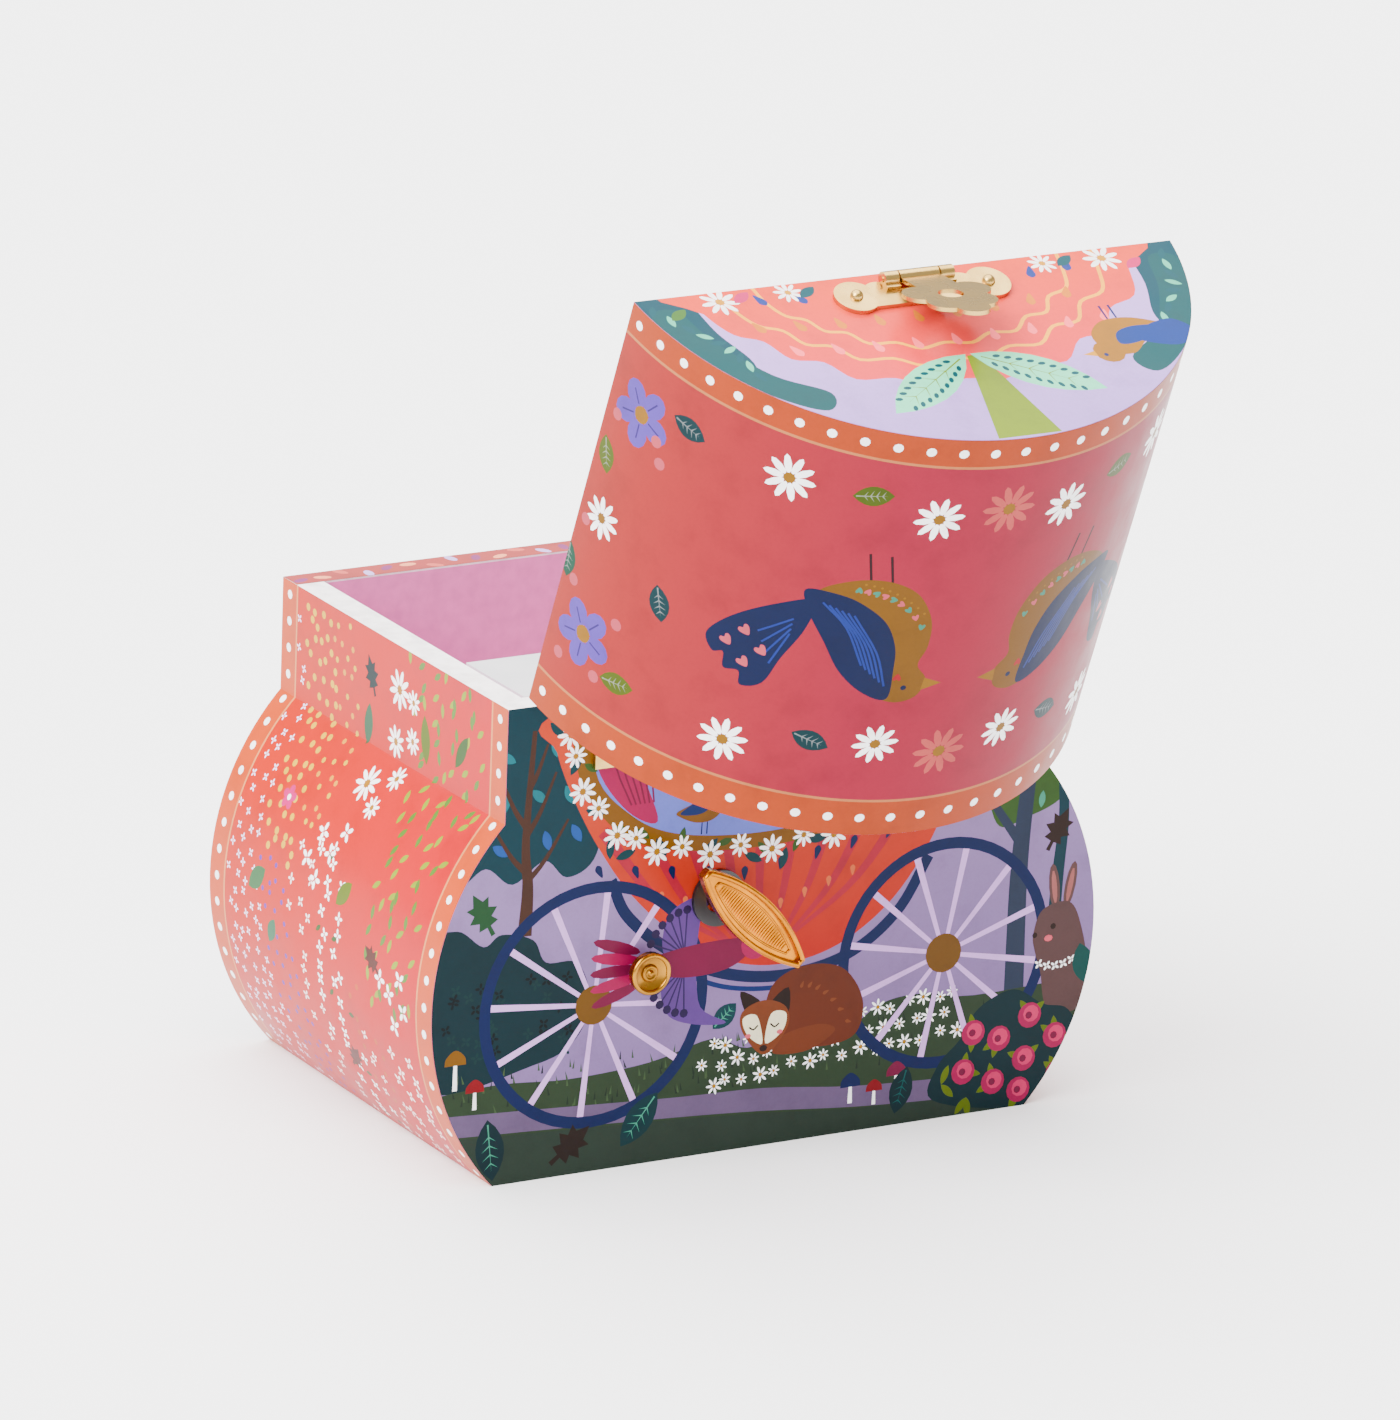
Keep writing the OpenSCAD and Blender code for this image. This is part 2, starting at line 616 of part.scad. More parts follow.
// Small moulded dancer: legs together, arms raised in a ring over the head.
dancer_z0 = spring_z + spring_rings*spring_wire;
figure_s = (stage_top + dancer_h - dancer_z0)/34;
waist_z = 17;
module ball(x, z, r) translate([x, 0, z]) sphere(r = r, $fn = 32);
module dancer() color("mistyrose") translate([dancer_x, dancer_y, dancer_z0]) scale(figure_s) {
  cylinder(r = 2.4, h = 1);
  translate([0, 0, 0.9]) cylinder(r1 = 0.8, r2 = 1.9, h = waist_z - 0.9);
  translate([0, 0, waist_z - 0.1]) cylinder(r1 = 1.7, r2 = 2.6, h = 5.6);
  ball(0, waist_z + 5.4, 2.6);
  translate([0, 0, waist_z + 6]) cylinder(r = 0.8, h = 4);
  ball(0, waist_z + 11.2, 2.3);
  ball(0, waist_z + 13.9, 1.2);
  for (s = [-1, 1]) {
    translate([s*2.2, 0, waist_z + 6.4]) rotate([0, s*42, 0]) cylinder(r = 0.7, h = 5);
    translate([s*5.5, 0, waist_z + 10]) rotate([0, -s*30, 0]) cylinder(r = 0.6, h = 6.8);
    ball(s*5.5, waist_z + 10, 0.75);
    ball(s*2.15, waist_z + 15.9, 0.8);
  }
}

tutu_z = dancer_z0 + waist_z*figure_s;
module tutu() color("pink") translate([dancer_x, dancer_y, tutu_z]) difference() {
  translate([0, 0, -1.6]) cylinder(r1 = tutu_r, r2 = 3, h = 2.4);
  translate([0, 0, -2]) cylinder(r = 2.4*figure_s, h = 4);
  translate([0, 0, -2.4]) cylinder(r1 = tutu_r, r2 = 3, h = 2);
}

// ---- lid ------------------------------------------------------------------------

module arch(inset) intersection() {
  translate([0, lid_cz]) circle(r = lid_r - inset, $fn = 128);
  translate([-lid_w, lid_z]) square([2*lid_w, lid_h]);
}
module lid_end(y0, y1) slab_y(y0, y1) arch(0);
module lid_front_panel() color("plum") open_lid() difference() {
  lid_end(-back_y, -back_y + lid_panel_t);
  for (x = hasp_nail_x) rod_y(-back_y - 1, -back_y + 3, x, hasp_nail_z, 0.6);
}
module lid_back_panel() color("coral") open_lid() difference() {
  lid_end(back_y - lid_panel_t, back_y);
  for (s = [-1, 1], x = [-1, 1])
    rod_y(back_y - hinge_screw_l, back_y + 1, s*hinge_x + x*hinge_screw_dx, lid_z + leaf_gap + leaf_h/2, hinge_screw_r);
}
module lid_arch() color("crimson") open_lid()
  slab_y(-back_y + lid_panel_t, back_y - lid_panel_t) difference() { arch(0); arch(lid_skin_t); }

// ---- hinges ---------------------------------------------------------------------

leaf_screw_z = leaf_gap + leaf_h/2;
// One leaf below the hinge line; up = -1 mirrors it above.
module leaf_plate(xc, up) translate([xc, 0, hinge_z]) mirror([0, 0, up > 0 ? 1 : 0]) difference() {
  translate([-hinge_w/2, back_y, -leaf_gap - lid_gap/2 - leaf_h]) cube([hinge_w, leaf_t, leaf_h]);
  for (x = [-1, 1]) rod_y(back_y - 1, back_y + 2, x*hinge_screw_dx, -leaf_screw_z - lid_gap/2, hinge_screw_r);
}
module neck(x0, x1, up) translate([x0, back_y, up > 0 ? hinge_z + 0.6 : hinge_z - 2.6 - leaf_gap/2])
  cube([x1 - x0, hinge_out, 2 + leaf_gap/2]);
module base_leaf(xc) difference() {
  union() {
    leaf_plate(xc, -1);
    for (s = [-1, 1]) {
      xa = s > 0 ? hinge_mid_w/2 + knuckle_gap : -hinge_w/2;
      xb = s > 0 ? hinge_w/2 : -hinge_mid_w/2 - knuckle_gap;
      rod_x(xc + xa, xc + xb, hinge_y, hinge_z, knuckle_r);
      neck(xc + xa, xc + xb, -1);
    }
  }
  rod_x(xc - hinge_w, xc + hinge_w, hinge_y, hinge_z, pin_r + run);
}
module left_hinge_base_leaf() color("gold") base_leaf(-hinge_x);
module right_hinge_base_leaf() color("gold") base_leaf(hinge_x);

// The lid leaf carries the stop: a heel that meets the base leaf when open.
module lid_leaf(xc) difference() {
  union() {
    open_lid() {
      leaf_plate(xc, 1);
      neck(xc - hinge_mid_w/2 + 0.2, xc + hinge_mid_w/2 - 0.2, 1);
      rod_x(xc - hinge_mid_w/2, xc + hinge_mid_w/2, hinge_y, hinge_z, knuckle_r);
    }
    translate([xc - hinge_mid_w/2 + 0.4, back_y + leaf_t + 0.3, hinge_z - 5])
      cube([hinge_mid_w - 0.8, hinge_out - leaf_t - 0.9, 5]);
  }
  rod_x(xc - hinge_w, xc + hinge_w, hinge_y, hinge_z, pin_r);
}
module left_hinge_lid_leaf() color("gold") lid_leaf(-hinge_x);
module right_hinge_lid_leaf() color("gold") lid_leaf(hinge_x);

module hinge_pins() color("silver") for (s = [-1, 1])
  rod_x(s*hinge_x - hinge_w/2 - 0.3, s*hinge_x + hinge_w/2 + 0.3, hinge_y, hinge_z, pin_r);

module small_screw(x, z) {
  rod_y(back_y - hinge_screw_l, back_y + leaf_t, x, z, hinge_screw_r);
  difference() {
    rod_y(back_y + leaf_t, back_y + leaf_t + 0.7, x, z, 1.7);
    translate([x - 2, back_y + leaf_t + 0.35, z - 0.2]) cube([4, 1, 0.4]);
  }
}
module hinge_base_screws() color("gold") for (s = [-1, 1], x = [-1, 1])
  small_screw(s*hinge_x + x*hinge_screw_dx, box_h - leaf_screw_z);
module hinge_lid_screws() color("gold") open_lid() for (s = [-1, 1], x = [-1, 1])
  small_screw(s*hinge_x + x*hinge_screw_dx, lid_z + leaf_screw_z);

// ---- hasp -----------------------------------------------------------------------

hasp_nail_x = [-(hasp_w/2 - 4.5), hasp_w/2 - 4.5];
hasp_nail_z = hasp_pin_z + 3;
hasp_band_z = hasp_pin_z + 2.6;
module hasp_outline() {
  for (s = [-1, 1]) translate([s*(hasp_w/2 - 4.5), hasp_nail_z]) circle(r = 4.5);
  for (s = [-1, 1]) translate([s*(hasp_w/2 - 10), hasp_nail_z]) circle(r = 3.6);
  translate([-hasp_w/2 + 5, hasp_band_z - 1]) square([hasp_w - 10, 5]);
}
module hasp_plate() color("gold") open_lid() difference() {
  union() {
    slab_y(-back_y - hasp_t, -back_y) difference() {
      hasp_outline();
      for (x = hasp_nail_x) translate([x, hasp_nail_z]) circle(r = 0.6);
      translate([-flap_knuckle_w/2 - 0.3, lid_z - 5]) square([flap_knuckle_w + 0.6, hasp_pin_z + 2.2 - lid_z + 5]);
    }
    for (s = [-1, 1]) {
      xa = s > 0 ? flap_knuckle_w/2 + 0.3 : -flap_knuckle_w/2 - 3.3;
      rod_x(xa, xa + 3, hasp_pin_y, hasp_pin_z, hasp_knuckle_r);
      translate([xa, hasp_pin_y, hasp_pin_z]) cube([3, -back_y - hasp_pin_y, hasp_knuckle_r + 1]);
    }
  }
  rod_x(-flap_knuckle_w, flap_knuckle_w, hasp_pin_y, hasp_pin_z, hasp_pin_r);
}
module hasp_pin() color("gold") open_lid()
  rod_x(-flap_knuckle_w/2 - 3.5, flap_knuckle_w/2 + 3.5, hasp_pin_y, hasp_pin_z, hasp_pin_r);
module hasp_nails() color("gold") open_lid() for (x = hasp_nail_x) {
  rod_y(-back_y - hasp_t, -back_y + 3, x, hasp_nail_z, 0.6);
  difference() {
    translate([x, -back_y - hasp_t, hasp_nail_z]) sphere(r = 1.3);
    translate([x - 2, -back_y - hasp_t, hasp_nail_z - 2]) cube(4);
  }
}

// Five-petal flap with a hole for the catch post and a lifting tab.
petals = 5;
petal_r = flower_r*0.42;
module flower_2d() {
  circle(r = flower_r*0.6);
  for (i = [0:petals - 1]) rotate(90 + i*360/petals)
    translate([flower_r - petal_r, 0]) circle(r = petal_r);
}
module hasp_flap() color("gold") open_lid() open_hasp() difference() {
  union() {
    rod_x(-flap_knuckle_w/2, flap_knuckle_w/2, hasp_pin_y, hasp_pin_z, hasp_knuckle_r);
    slab_y(hasp_pin_y - flap_t/2, hasp_pin_y + flap_t/2) difference() {
      union() {
        translate([-flap_knuckle_w/2, hasp_pin_z - hasp_reach + 3]) square([flap_knuckle_w, hasp_reach - 3]);
        translate([0, post_z]) flower_2d();
        translate([0, post_z - flower_r + 1]) circle(r = 3.4);
      }
      translate([0, post_z]) circle(r = flower_hole_r);
    }
  }
  rod_x(-flap_knuckle_w, flap_knuckle_w, hasp_pin_y, hasp_pin_z, hasp_pin_r + run);
}

// ---- nodes ----------------------------------------------------------------------

front_panel();
back_panel();
left_side_wall();
right_side_wall();
bottom_board();
partition();
stage_board();
stage_mirror();
floor_pad();
key_grommet();
catch_post();
bedplate();
movement_screws();
governor_frame();
bearing_brackets();
comb();
comb_base();
comb_screws();
gear_bridge();
stage_bush();
click_pawl();
left_hinge_base_leaf();
right_hinge_base_leaf();
hinge_base_screws();
spring_barrel();
crown_gear();
mainspring();
winding_arbor();
ratchet_wheel();
key_stem();
key_grip();
cylinder_shaft();
cylinder_pinion();
cylinder_gear();
pin_cylinder();
governor_wheel();
fan_arbor();
fan_pinion();
fan_blades();
drive_shaft();
drive_pinion();
transfer_gear();
figure_spindle();
figure_gear();
figure_disc();
figure_spring();
dancer();
tutu();
stop_knob();
lid_front_panel();
lid_back_panel();
lid_arch();
left_hinge_lid_leaf();
right_hinge_lid_leaf();
hinge_lid_screws();
hinge_pins();
hasp_plate();
hasp_nails();
hasp_flap();
hasp_pin();
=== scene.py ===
import json
import math
import random
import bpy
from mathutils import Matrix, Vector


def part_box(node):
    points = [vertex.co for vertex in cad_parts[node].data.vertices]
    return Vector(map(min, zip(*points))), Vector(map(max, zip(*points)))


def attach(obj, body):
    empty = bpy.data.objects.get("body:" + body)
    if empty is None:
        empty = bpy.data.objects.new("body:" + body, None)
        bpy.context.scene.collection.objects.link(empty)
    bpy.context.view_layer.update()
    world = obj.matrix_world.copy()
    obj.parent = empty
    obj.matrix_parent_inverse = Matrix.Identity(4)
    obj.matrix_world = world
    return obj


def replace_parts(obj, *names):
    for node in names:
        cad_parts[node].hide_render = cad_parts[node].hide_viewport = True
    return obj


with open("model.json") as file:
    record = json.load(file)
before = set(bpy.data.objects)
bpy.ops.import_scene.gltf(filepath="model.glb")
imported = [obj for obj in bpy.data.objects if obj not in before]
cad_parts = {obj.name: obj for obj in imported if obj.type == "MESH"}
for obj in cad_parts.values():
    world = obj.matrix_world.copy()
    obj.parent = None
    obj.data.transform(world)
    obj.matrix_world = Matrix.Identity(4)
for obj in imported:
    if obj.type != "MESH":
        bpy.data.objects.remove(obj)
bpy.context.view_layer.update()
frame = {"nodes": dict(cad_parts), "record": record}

import types

import bmesh
import bpy
from mathutils import Matrix, Vector
from mathutils.geometry import delaunay_2d_cdt

MM = 0.001
TAU = 2 * math.pi

# ---- sizes the prints and linings follow, in millimetres ---------------------------

BACK, FRONT, RIM, DEEP = 48.0, -48.0, 98.0, 6.0
BELLY_Z, FOOT, BELLY, NECK = 37.0, 60.5, 75.0, 60.0
BELLY_R = ((BELLY - FOOT) ** 2 + BELLY_Z ** 2) / (2 * (BELLY - FOOT))
BELLY_CX = BELLY - BELLY_R
KINK_Z = BELLY_Z + math.sqrt(BELLY_R ** 2 - (NECK - BELLY_CX) ** 2)
ARC0 = -math.asin(BELLY_Z / BELLY_R)
ARC1 = math.asin((KINK_Z - BELLY_Z) / BELLY_R)
WALL_ARC = BELLY_R * (ARC1 - ARC0)
WALL_LEN = WALL_ARC + RIM - KINK_Z
LID_Z, LID_W, LID_H = 98.4, 118.0, 52.7
LID_R = ((LID_W / 2) ** 2 + LID_H ** 2) / (2 * LID_H)
LID_CZ = LID_Z + LID_H - LID_R
LID_S = LID_R * math.acos((LID_R - LID_H) / LID_R)
HINGE = Vector((0, 52.4, 98.2))
OPEN = math.radians(112.3)
PAPER = 0.06  # how far a print stands off the board


def opened(x, y, z):
    """A point of the shut lid, where it stands open."""
    dy, dz = y - HINGE.y, z - HINGE.z
    c, s = math.cos(OPEN), math.sin(OPEN)
    return Vector((x, HINGE.y + dy * c + dz * s, HINGE.z - dy * s + dz * c))


def wall_point(s, off=0.0):
    """Height s along the side wall's outside, as x and z, off outwards."""
    if s <= WALL_ARC:
        a = ARC0 + s / BELLY_R
        r = BELLY_R + off
        return BELLY_CX + r * math.cos(a), BELLY_Z + r * math.sin(a)
    return NECK + off, KINK_Z + s - WALL_ARC


def wall_s(z):
    """Distance up the side wall's outside at height z."""
    if z >= KINK_Z:
        return WALL_ARC + z - KINK_Z
    return BELLY_R * (math.asin((z - BELLY_Z) / BELLY_R) - ARC0)


def new_object(name, data):
    """An object of that name, standing in the scene."""
    obj = bpy.data.objects.new(name, data)
    bpy.context.collection.objects.link(obj)
    return obj


def keep_made(obj):
    """What the object's modifiers make becomes its own plain mesh."""
    made = bpy.data.meshes.new_from_object(obj.evaluated_get(bpy.context.evaluated_depsgraph_get()))
    obj.modifiers.clear()
    obj.data = made


# ---- colours and shapes -----------------------------------------------------------

def ink(code):
    """An sRGB hex colour as linear light."""
    out = []
    for i in (0, 2, 4):
        c = int(code[i:i + 2], 16) / 255
        out.append(c / 12.92 if c <= 0.04045 else ((c + 0.055) / 1.055) ** 2.4)
    return tuple(out)


def mix(a, b, t):
    t = min(1.0, max(0.0, t))
    return tuple(p + (q - p) * t for p, q in zip(a, b))


LILAC, LILAC_DEEP, ROAD = ink("A283BC"), ink("7C5E9C"), ink("705A80")
CORAL, BAND = ink("D61326"), ink("E55419")
PINK, ROSE, MAGENTA = ink("F96074"), ink("B70B57"), ink("811042")
NAVY, BLUE, PERI, TEAL, MINT = ink("0A1D52"), ink("0D2A6E"), ink("7481ED"), ink("054149"), ink("47A889")
DARK_TEAL, BUSH, PINE = ink("043A46"), ink("043038"), ink("05282C")
OCHRE, YELLOW, BROWN, DARK_BROWN = ink("895805"), ink("BA7E05"), ink("4B2C1F"), ink("351E16")
LIME, LEAF, GRASS, GROUND = ink("667A05"), ink("385D20"), ink("31452C"), ink("2F4034")
WHITE, CREAM, SLATE, RED = ink("F9F9F9"), ink("F9F0C8"), ink("2C374F"), ink("900818")
VIOLET = ink("7132B2")


def turn(points, angle, at=(0, 0)):
    c, s = math.cos(angle), math.sin(angle)
    return [(at[0] + x * c - y * s, at[1] + x * s + y * c) for x, y in points]


def between(p, t):
    """The point t of the way from the second to the third of four, on a smooth curve."""
    return tuple(0.5 * (2 * p[1][k] + (p[2][k] - p[0][k]) * t
                        + (2 * p[0][k] - 5 * p[1][k] + 4 * p[2][k] - p[3][k]) * t * t
                        + (3 * p[1][k] - p[0][k] - 3 * p[2][k] + p[3][k]) * t ** 3) for k in (0, 1))


def smooth(points, steps=6):
    """A closed curve through given points."""
    n, out = len(points), []
    for i in range(n):
        p = [points[(i + k) % n] for k in (-1, 0, 1, 2)]
        out += [between(p, j / steps) for j in range(steps)]
    return out


def path(points, steps=6):
    """An open curve through given points."""
    before, after = (tuple(2 * a[k] - b[k] for k in (0, 1)) for a, b in (points[:2], points[:-3:-1]))
    ends = [before, *points, after]
    out = []
    for i in range(1, len(ends) - 2):
        p = ends[i - 1:i + 3]
        out += [between(p, j / steps) for j in range(steps)]
    return out + [tuple(points[-1])]


def oval(x, y, a, b=None, angle=0.0, n=16):
    b = a if b is None else b
    return turn([(a * math.cos(TAU * i / n), b * math.sin(TAU * i / n)) for i in range(n)], angle, (x, y))


def ribbon(points, w0, w1=None):
    """A band along a path, w0 wide at its start and w1 at its end."""
    w1 = w0 if w1 is None else w1
    left, right, n = [], [], len(points)
    for i, p in enumerate(points):
        a, b = points[max(0, i - 1)], points[min(n - 1, i + 1)]
        dx, dy = b[0] - a[0], b[1] - a[1]
        d = math.hypot(dx, dy) or 1
        w = (w0 + (w1 - w0) * i / (n - 1)) / 2
        left.append((p[0] - dy / d * w, p[1] + dx / d * w))
        right.append((p[0] + dy / d * w, p[1] - dx / d * w))
    return left + right[::-1]


class Print:
    """Printed paper, laid out flat: shapes in painting order, each with its ink."""

    def __init__(self, outline, base, weight=1.0):
        self.shapes, self.weight = [], weight  # a weight under 1 paints shade into the print: its coloured inks come out darker, as on a panel that stands in shade
        self.inside, self.inward = Vector((0, 0, 50)), False  # the print faces away from inside
        self.put(outline, base)

    def put(self, points, colour):
        area = sum(p[0] * q[1] - q[0] * p[1] for p, q in zip(points, points[1:] + points[:1]))
        self.shapes.append((points if area > 0 else points[::-1], colour))
        return self

    def ring(self, x, y, r0, r1, colour, n=56):
        for i in range(n):
            a, b = TAU * i / n, TAU * (i + 1) / n
            self.put([(x + r * math.cos(t), y + r * math.sin(t))
                      for r, t in ((r0, a), (r1, a), (r1, b), (r0, b))], colour)

    def line(self, points, width, colour, end=None):
        self.put(ribbon(points, width, end), colour)

    def leaf(self, x, y, length, width, angle, colour, rib=None):
        n = 7
        side = [(length * i / n, width / 2 * math.sin(math.pi * i / n) ** 0.8) for i in range(n + 1)]
        shape = side + [(p, -q) for p, q in side[-2:0:-1]]
        self.put(turn(shape, angle, (x, y)), colour)
        if rib:
            self.put(turn([(length * 0.08, -0.18), (length * 0.85, 0), (length * 0.08, 0.18)], angle, (x, y)),
                     rib)
            for i in range(2, 6):
                p = length * i / 7
                for s in (-1, 1):
                    q = s * width / 2 * 0.62 * math.sin(math.pi * i / 7)
                    self.put(turn([(p - 0.2, 0), (p + length * 0.09, q), (p + 0.15, 0)], angle, (x, y)), rib)

    def daisy(self, x, y, r, colour=WHITE, heart=YELLOW, petals=9, spin=0.0):
        for i in range(petals):
            a = spin + TAU * i / petals
            self.put(oval(x + 0.6 * r * math.cos(a), y + 0.6 * r * math.sin(a), 0.42 * r, 0.15 * r, a, 8),
                     colour)
        self.put(oval(x, y, 0.24 * r, n=8), heart)

    def bloom(self, x, y, r, colour, heart, petals=5, spin=0.3):
        for i in range(petals):
            a = spin + TAU * i / petals
            self.put(oval(x + 0.6 * r * math.cos(a), y + 0.6 * r * math.sin(a), 0.42 * r, 0.36 * r, a, 12),
                     colour)
        self.put(oval(x, y, 0.26 * r, n=10), heart)

    def cross(self, x, y, r, colour, spin=0.6):
        for i in range(4):
            a = spin + TAU * i / 4
            self.put(oval(x + 0.55 * r * math.cos(a), y + 0.55 * r * math.sin(a), 0.45 * r, 0.25 * r, a, 6),
                     colour)

    def heart(self, x, y, r, colour, angle=0.0):
        shape = smooth([(0, -1), (0.75, -0.1), (0.85, 0.55), (0.45, 0.8), (0, 0.45), (-0.45, 0.8),
                        (-0.85, 0.55), (-0.75, -0.1)], 3)
        self.put(turn([(p * r, q * r) for p, q in shape], angle, (x, y)), colour)

    def drop(self, x, y, r, colour, angle=0.0):
        shape = smooth([(0, 1.5), (0.55, 0.2), (0.6, -0.5), (0, -1), (-0.6, -0.5), (-0.55, 0.2)], 3)
        self.put(turn([(p * r, q * r) for p, q in shape], angle, (x, y)), colour)

    def oak_leaf(self, x, y, r, angle, colour):
        half = [(0.12, -1.3), (0.1, -0.8), (0.55, -0.75), (0.35, -0.4), (0.8, -0.15), (0.42, 0.1),
                (0.65, 0.55), (0.28, 0.5), (0, 1.1)]
        self.put(turn([(p * r, q * r) for p, q in half + [(-p, q) for p, q in half[-2::-1]]], angle, (x, y)),
                 colour)

    def mushroom(self, x, y, r, colour, tall=1.6):
        self.put([(x - 0.22 * r, y), (x + 0.22 * r, y), (x + 0.16 * r, y + tall * r),
                  (x - 0.16 * r, y + tall * r)], WHITE)
        cap = [(x - r, y + tall * r), (x - 0.85 * r, y + tall * r + 0.7 * r), (x, y + tall * r + 1.3 * r),
               (x + 0.85 * r, y + tall * r + 0.7 * r), (x + r, y + tall * r)]
        self.put(path(cap, 4), colour)

    def dots(self, points, r, colour, n=10):
        for x, y in points:
            self.put(oval(x, y, r, n=n), colour)

    def lay(self, name, place, body, slot, finish, grid_u=(), grid_v=()):
        """Cuts the print into faces of one ink each and lays it on the board."""
        verts, faces, edges = [], [], []
        for points, _ in self.shapes:
            start = len(verts)
            verts += [Vector(p) for p in points]
            faces.append(list(range(start, start + len(points))))
        us = [p[0] for p in self.shapes[0][0]]
        vs = [p[1] for p in self.shapes[0][0]]
        u0, u1, v0, v1 = min(us) - 1, max(us) + 1, min(vs) - 1, max(vs) + 1
        for v in grid_v:
            edges.append((len(verts), len(verts) + 1))
            verts += [Vector((u0, v)), Vector((u1, v))]
        for u in grid_u:
            edges.append((len(verts), len(verts) + 1))
            verts += [Vector((u, v0)), Vector((u, v1))]
        pts, _, tris, _, _, source = delaunay_2d_cdt(verts, edges, faces, 1, 1e-4, True)
        keep = [(t, max(o)) for t, o in zip(tris, source) if o and 0 in o]
        mesh = bpy.data.meshes.new(name)
        where = [Vector(place(*p)) * MM for p in pts]
        used = sorted({i for t, _ in keep for i in t})
        index = {i: k for k, i in enumerate(used)}
        mesh.from_pydata([where[i] for i in used], [], [[index[i] for i in t] for t, _ in keep])
        # The ink layer holds each print colour together with the painted shade of its print's weight.
        layer = mesh.color_attributes.new("ink", "FLOAT_COLOR", "CORNER")
        k = 0
        for t, top in keep:
            colour = self.shapes[top][1]
            for i in t:
                col = colour(*pts[i]) if callable(colour) else colour
                # Painted shade: the print's weight darkens its coloured inks, while bare white paper keeps
                # its brightness.
                light = (min(col) / 0.88) ** 1.6  # bare white paper stays as bright as it is
                shade_and_ink_density = self.weight + (1 - self.weight) * min(1.0, light)
                shade_and_ink_density *= min(1.0, 0.6 + 5 * max(col))  # the darkest inks print solid
                layer.data[k].color = (*[min(0.92, c * shade_and_ink_density) for c in col], 1.0)
                k += 1
        obj = new_object(name, mesh)
        mesh.materials.append(finish)
        mesh.update()
        p = mesh.polygons[len(mesh.polygons) // 2]
        if (p.center / MM - self.inside).dot(p.normal) * (-1 if self.inward else 1) < 0:
            mesh.flip_normals()
        if grid_u or grid_v:
            mesh.polygons.foreach_set("use_smooth", [True] * len(mesh.polygons))
            mesh.set_sharp_from_angle(angle=math.radians(20))
        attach(obj, body)
        return obj


# ---- materials ------------------------------------------------------------------

def material(name):
    m = bpy.data.materials.new(name)
    m.use_nodes = True
    m.node_tree.nodes.clear()
    shader = add(m, "ShaderNodeBsdfPrincipled")
    add(m, "ShaderNodeOutputMaterial", Surface=shader.outputs[0])
    return m, shader


def add(m, kind, settings=None, **inputs):
    """Adds a node; an input that is an output socket is linked, any other is set."""
    node = m.node_tree.nodes.new(kind)
    for key, value in (settings or {}).items():
        setattr(node, key, value)
    for key, value in inputs.items():
        join(m, node, key.replace("_", " "), value)
    return node


def join(m, node, key, value):
    key = int(key[1:]) if key[0] == "i" and key[1:].isdigit() else key
    if isinstance(value, bpy.types.NodeSocket):
        m.node_tree.links.new(value, node.inputs[key])
    else:
        node.inputs[key].default_value = value


def ramp(m, fac, stops):
    node = add(m, "ShaderNodeValToRGB", Fac=fac)
    e = node.color_ramp.elements
    while len(e) < len(stops):
        e.new(0.5)
    for el, (at, col) in zip(e, stops):
        el.position = at
        el.color = (*col, 1) if isinstance(col, tuple) else (col, col, col, 1)
    return node.outputs[0]


def grained(m, shader, scale_mm, height_mm, strength, detail=4.0, ripple=0.0):
    """Surface relief from noise of a real grain size, and wide ripples if asked."""
    where = add(m, "ShaderNodeTexCoord").outputs["Object"]
    fine = add(m, "ShaderNodeTexNoise", Vector=where, Scale=1 / (scale_mm * MM), Detail=detail)
    bump = add(m, "ShaderNodeBump", Height=fine.outputs[0], Strength=strength, Distance=height_mm * MM)
    if ripple:
        wide = add(m, "ShaderNodeTexNoise", Vector=where, Scale=1 / (14 * MM), Detail=2.0)
        bump = add(m, "ShaderNodeBump", Height=wide.outputs[0], Strength=0.6, Distance=ripple * MM,
                   Normal=bump.outputs[0])
    join(m, shader, "Normal", bump.outputs[0])
    return where


def printed_paper(name, gloss):
    # Offset-printed art paper, film laminated and glued over board: even ink with a
    # painted mottle, a soft film gloss, and faint ripples where the glue dried.
    m, s = material(name)
    where = grained(m, s, 0.5, 0.02, 0.25, ripple=0.10)
    # The ink layer carries print colours with the painted shade of each print's weight laid in.
    art = add(m, "ShaderNodeAttribute", {"attribute_name": "ink"}).outputs["Color"]
    wash = add(m, "ShaderNodeTexNoise", Vector=where, Scale=1 / (9 * MM), Detail=5.0, Roughness=0.62)
    tone = ramp(m, wash.outputs[0], [(0.3, 0.84), (0.5, 0.97), (0.72, 1.0)])
    mixed = add(m, "ShaderNodeMix", {"data_type": "RGBA", "blend_type": "MULTIPLY"}, i0=1.0, i6=art, i7=tone)
    speck = add(m, "ShaderNodeTexNoise", Vector=where, Scale=1 / (0.6 * MM), Detail=2.0)
    fine = ramp(m, speck.outputs[0], [(0.25, 0.95), (0.6, 1.0)])
    last = add(m, "ShaderNodeMix", {"data_type": "RGBA", "blend_type": "MULTIPLY"}, i0=1.0,
               i6=mixed.outputs[2], i7=fine)
    join(m, s, "Base Color", last.outputs[2])
    rough = add(m, "ShaderNodeMapRange", Value=wash.outputs[0], From_Min=0.3, From_Max=0.7,
                To_Min=gloss - 0.05, To_Max=gloss + 0.08)
    join(m, s, "Roughness", rough.outputs[0])
    join(m, s, "IOR", 1.16)
    join(m, s, "Coat Weight", 0.04)
    join(m, s, "Coat Roughness", 0.1)
    return m


def lining_paper(name, code):
    # Dyed uncoated lining paper: even matt pink with a faint fibre fleck.
    m, s = material(name)
    where = grained(m, s, 0.7, 0.05, 0.35)
    fleck = add(m, "ShaderNodeTexNoise", Vector=where, Scale=1 / (2.2 * MM), Detail=6.0)
    c = ink(code)
    join(m, s, "Base Color", ramp(m, fleck.outputs[0], [(0.3, mix(c, (0, 0, 0), 0.14)), (0.65, c)]))
    join(m, s, "Roughness", 0.62)
    return m


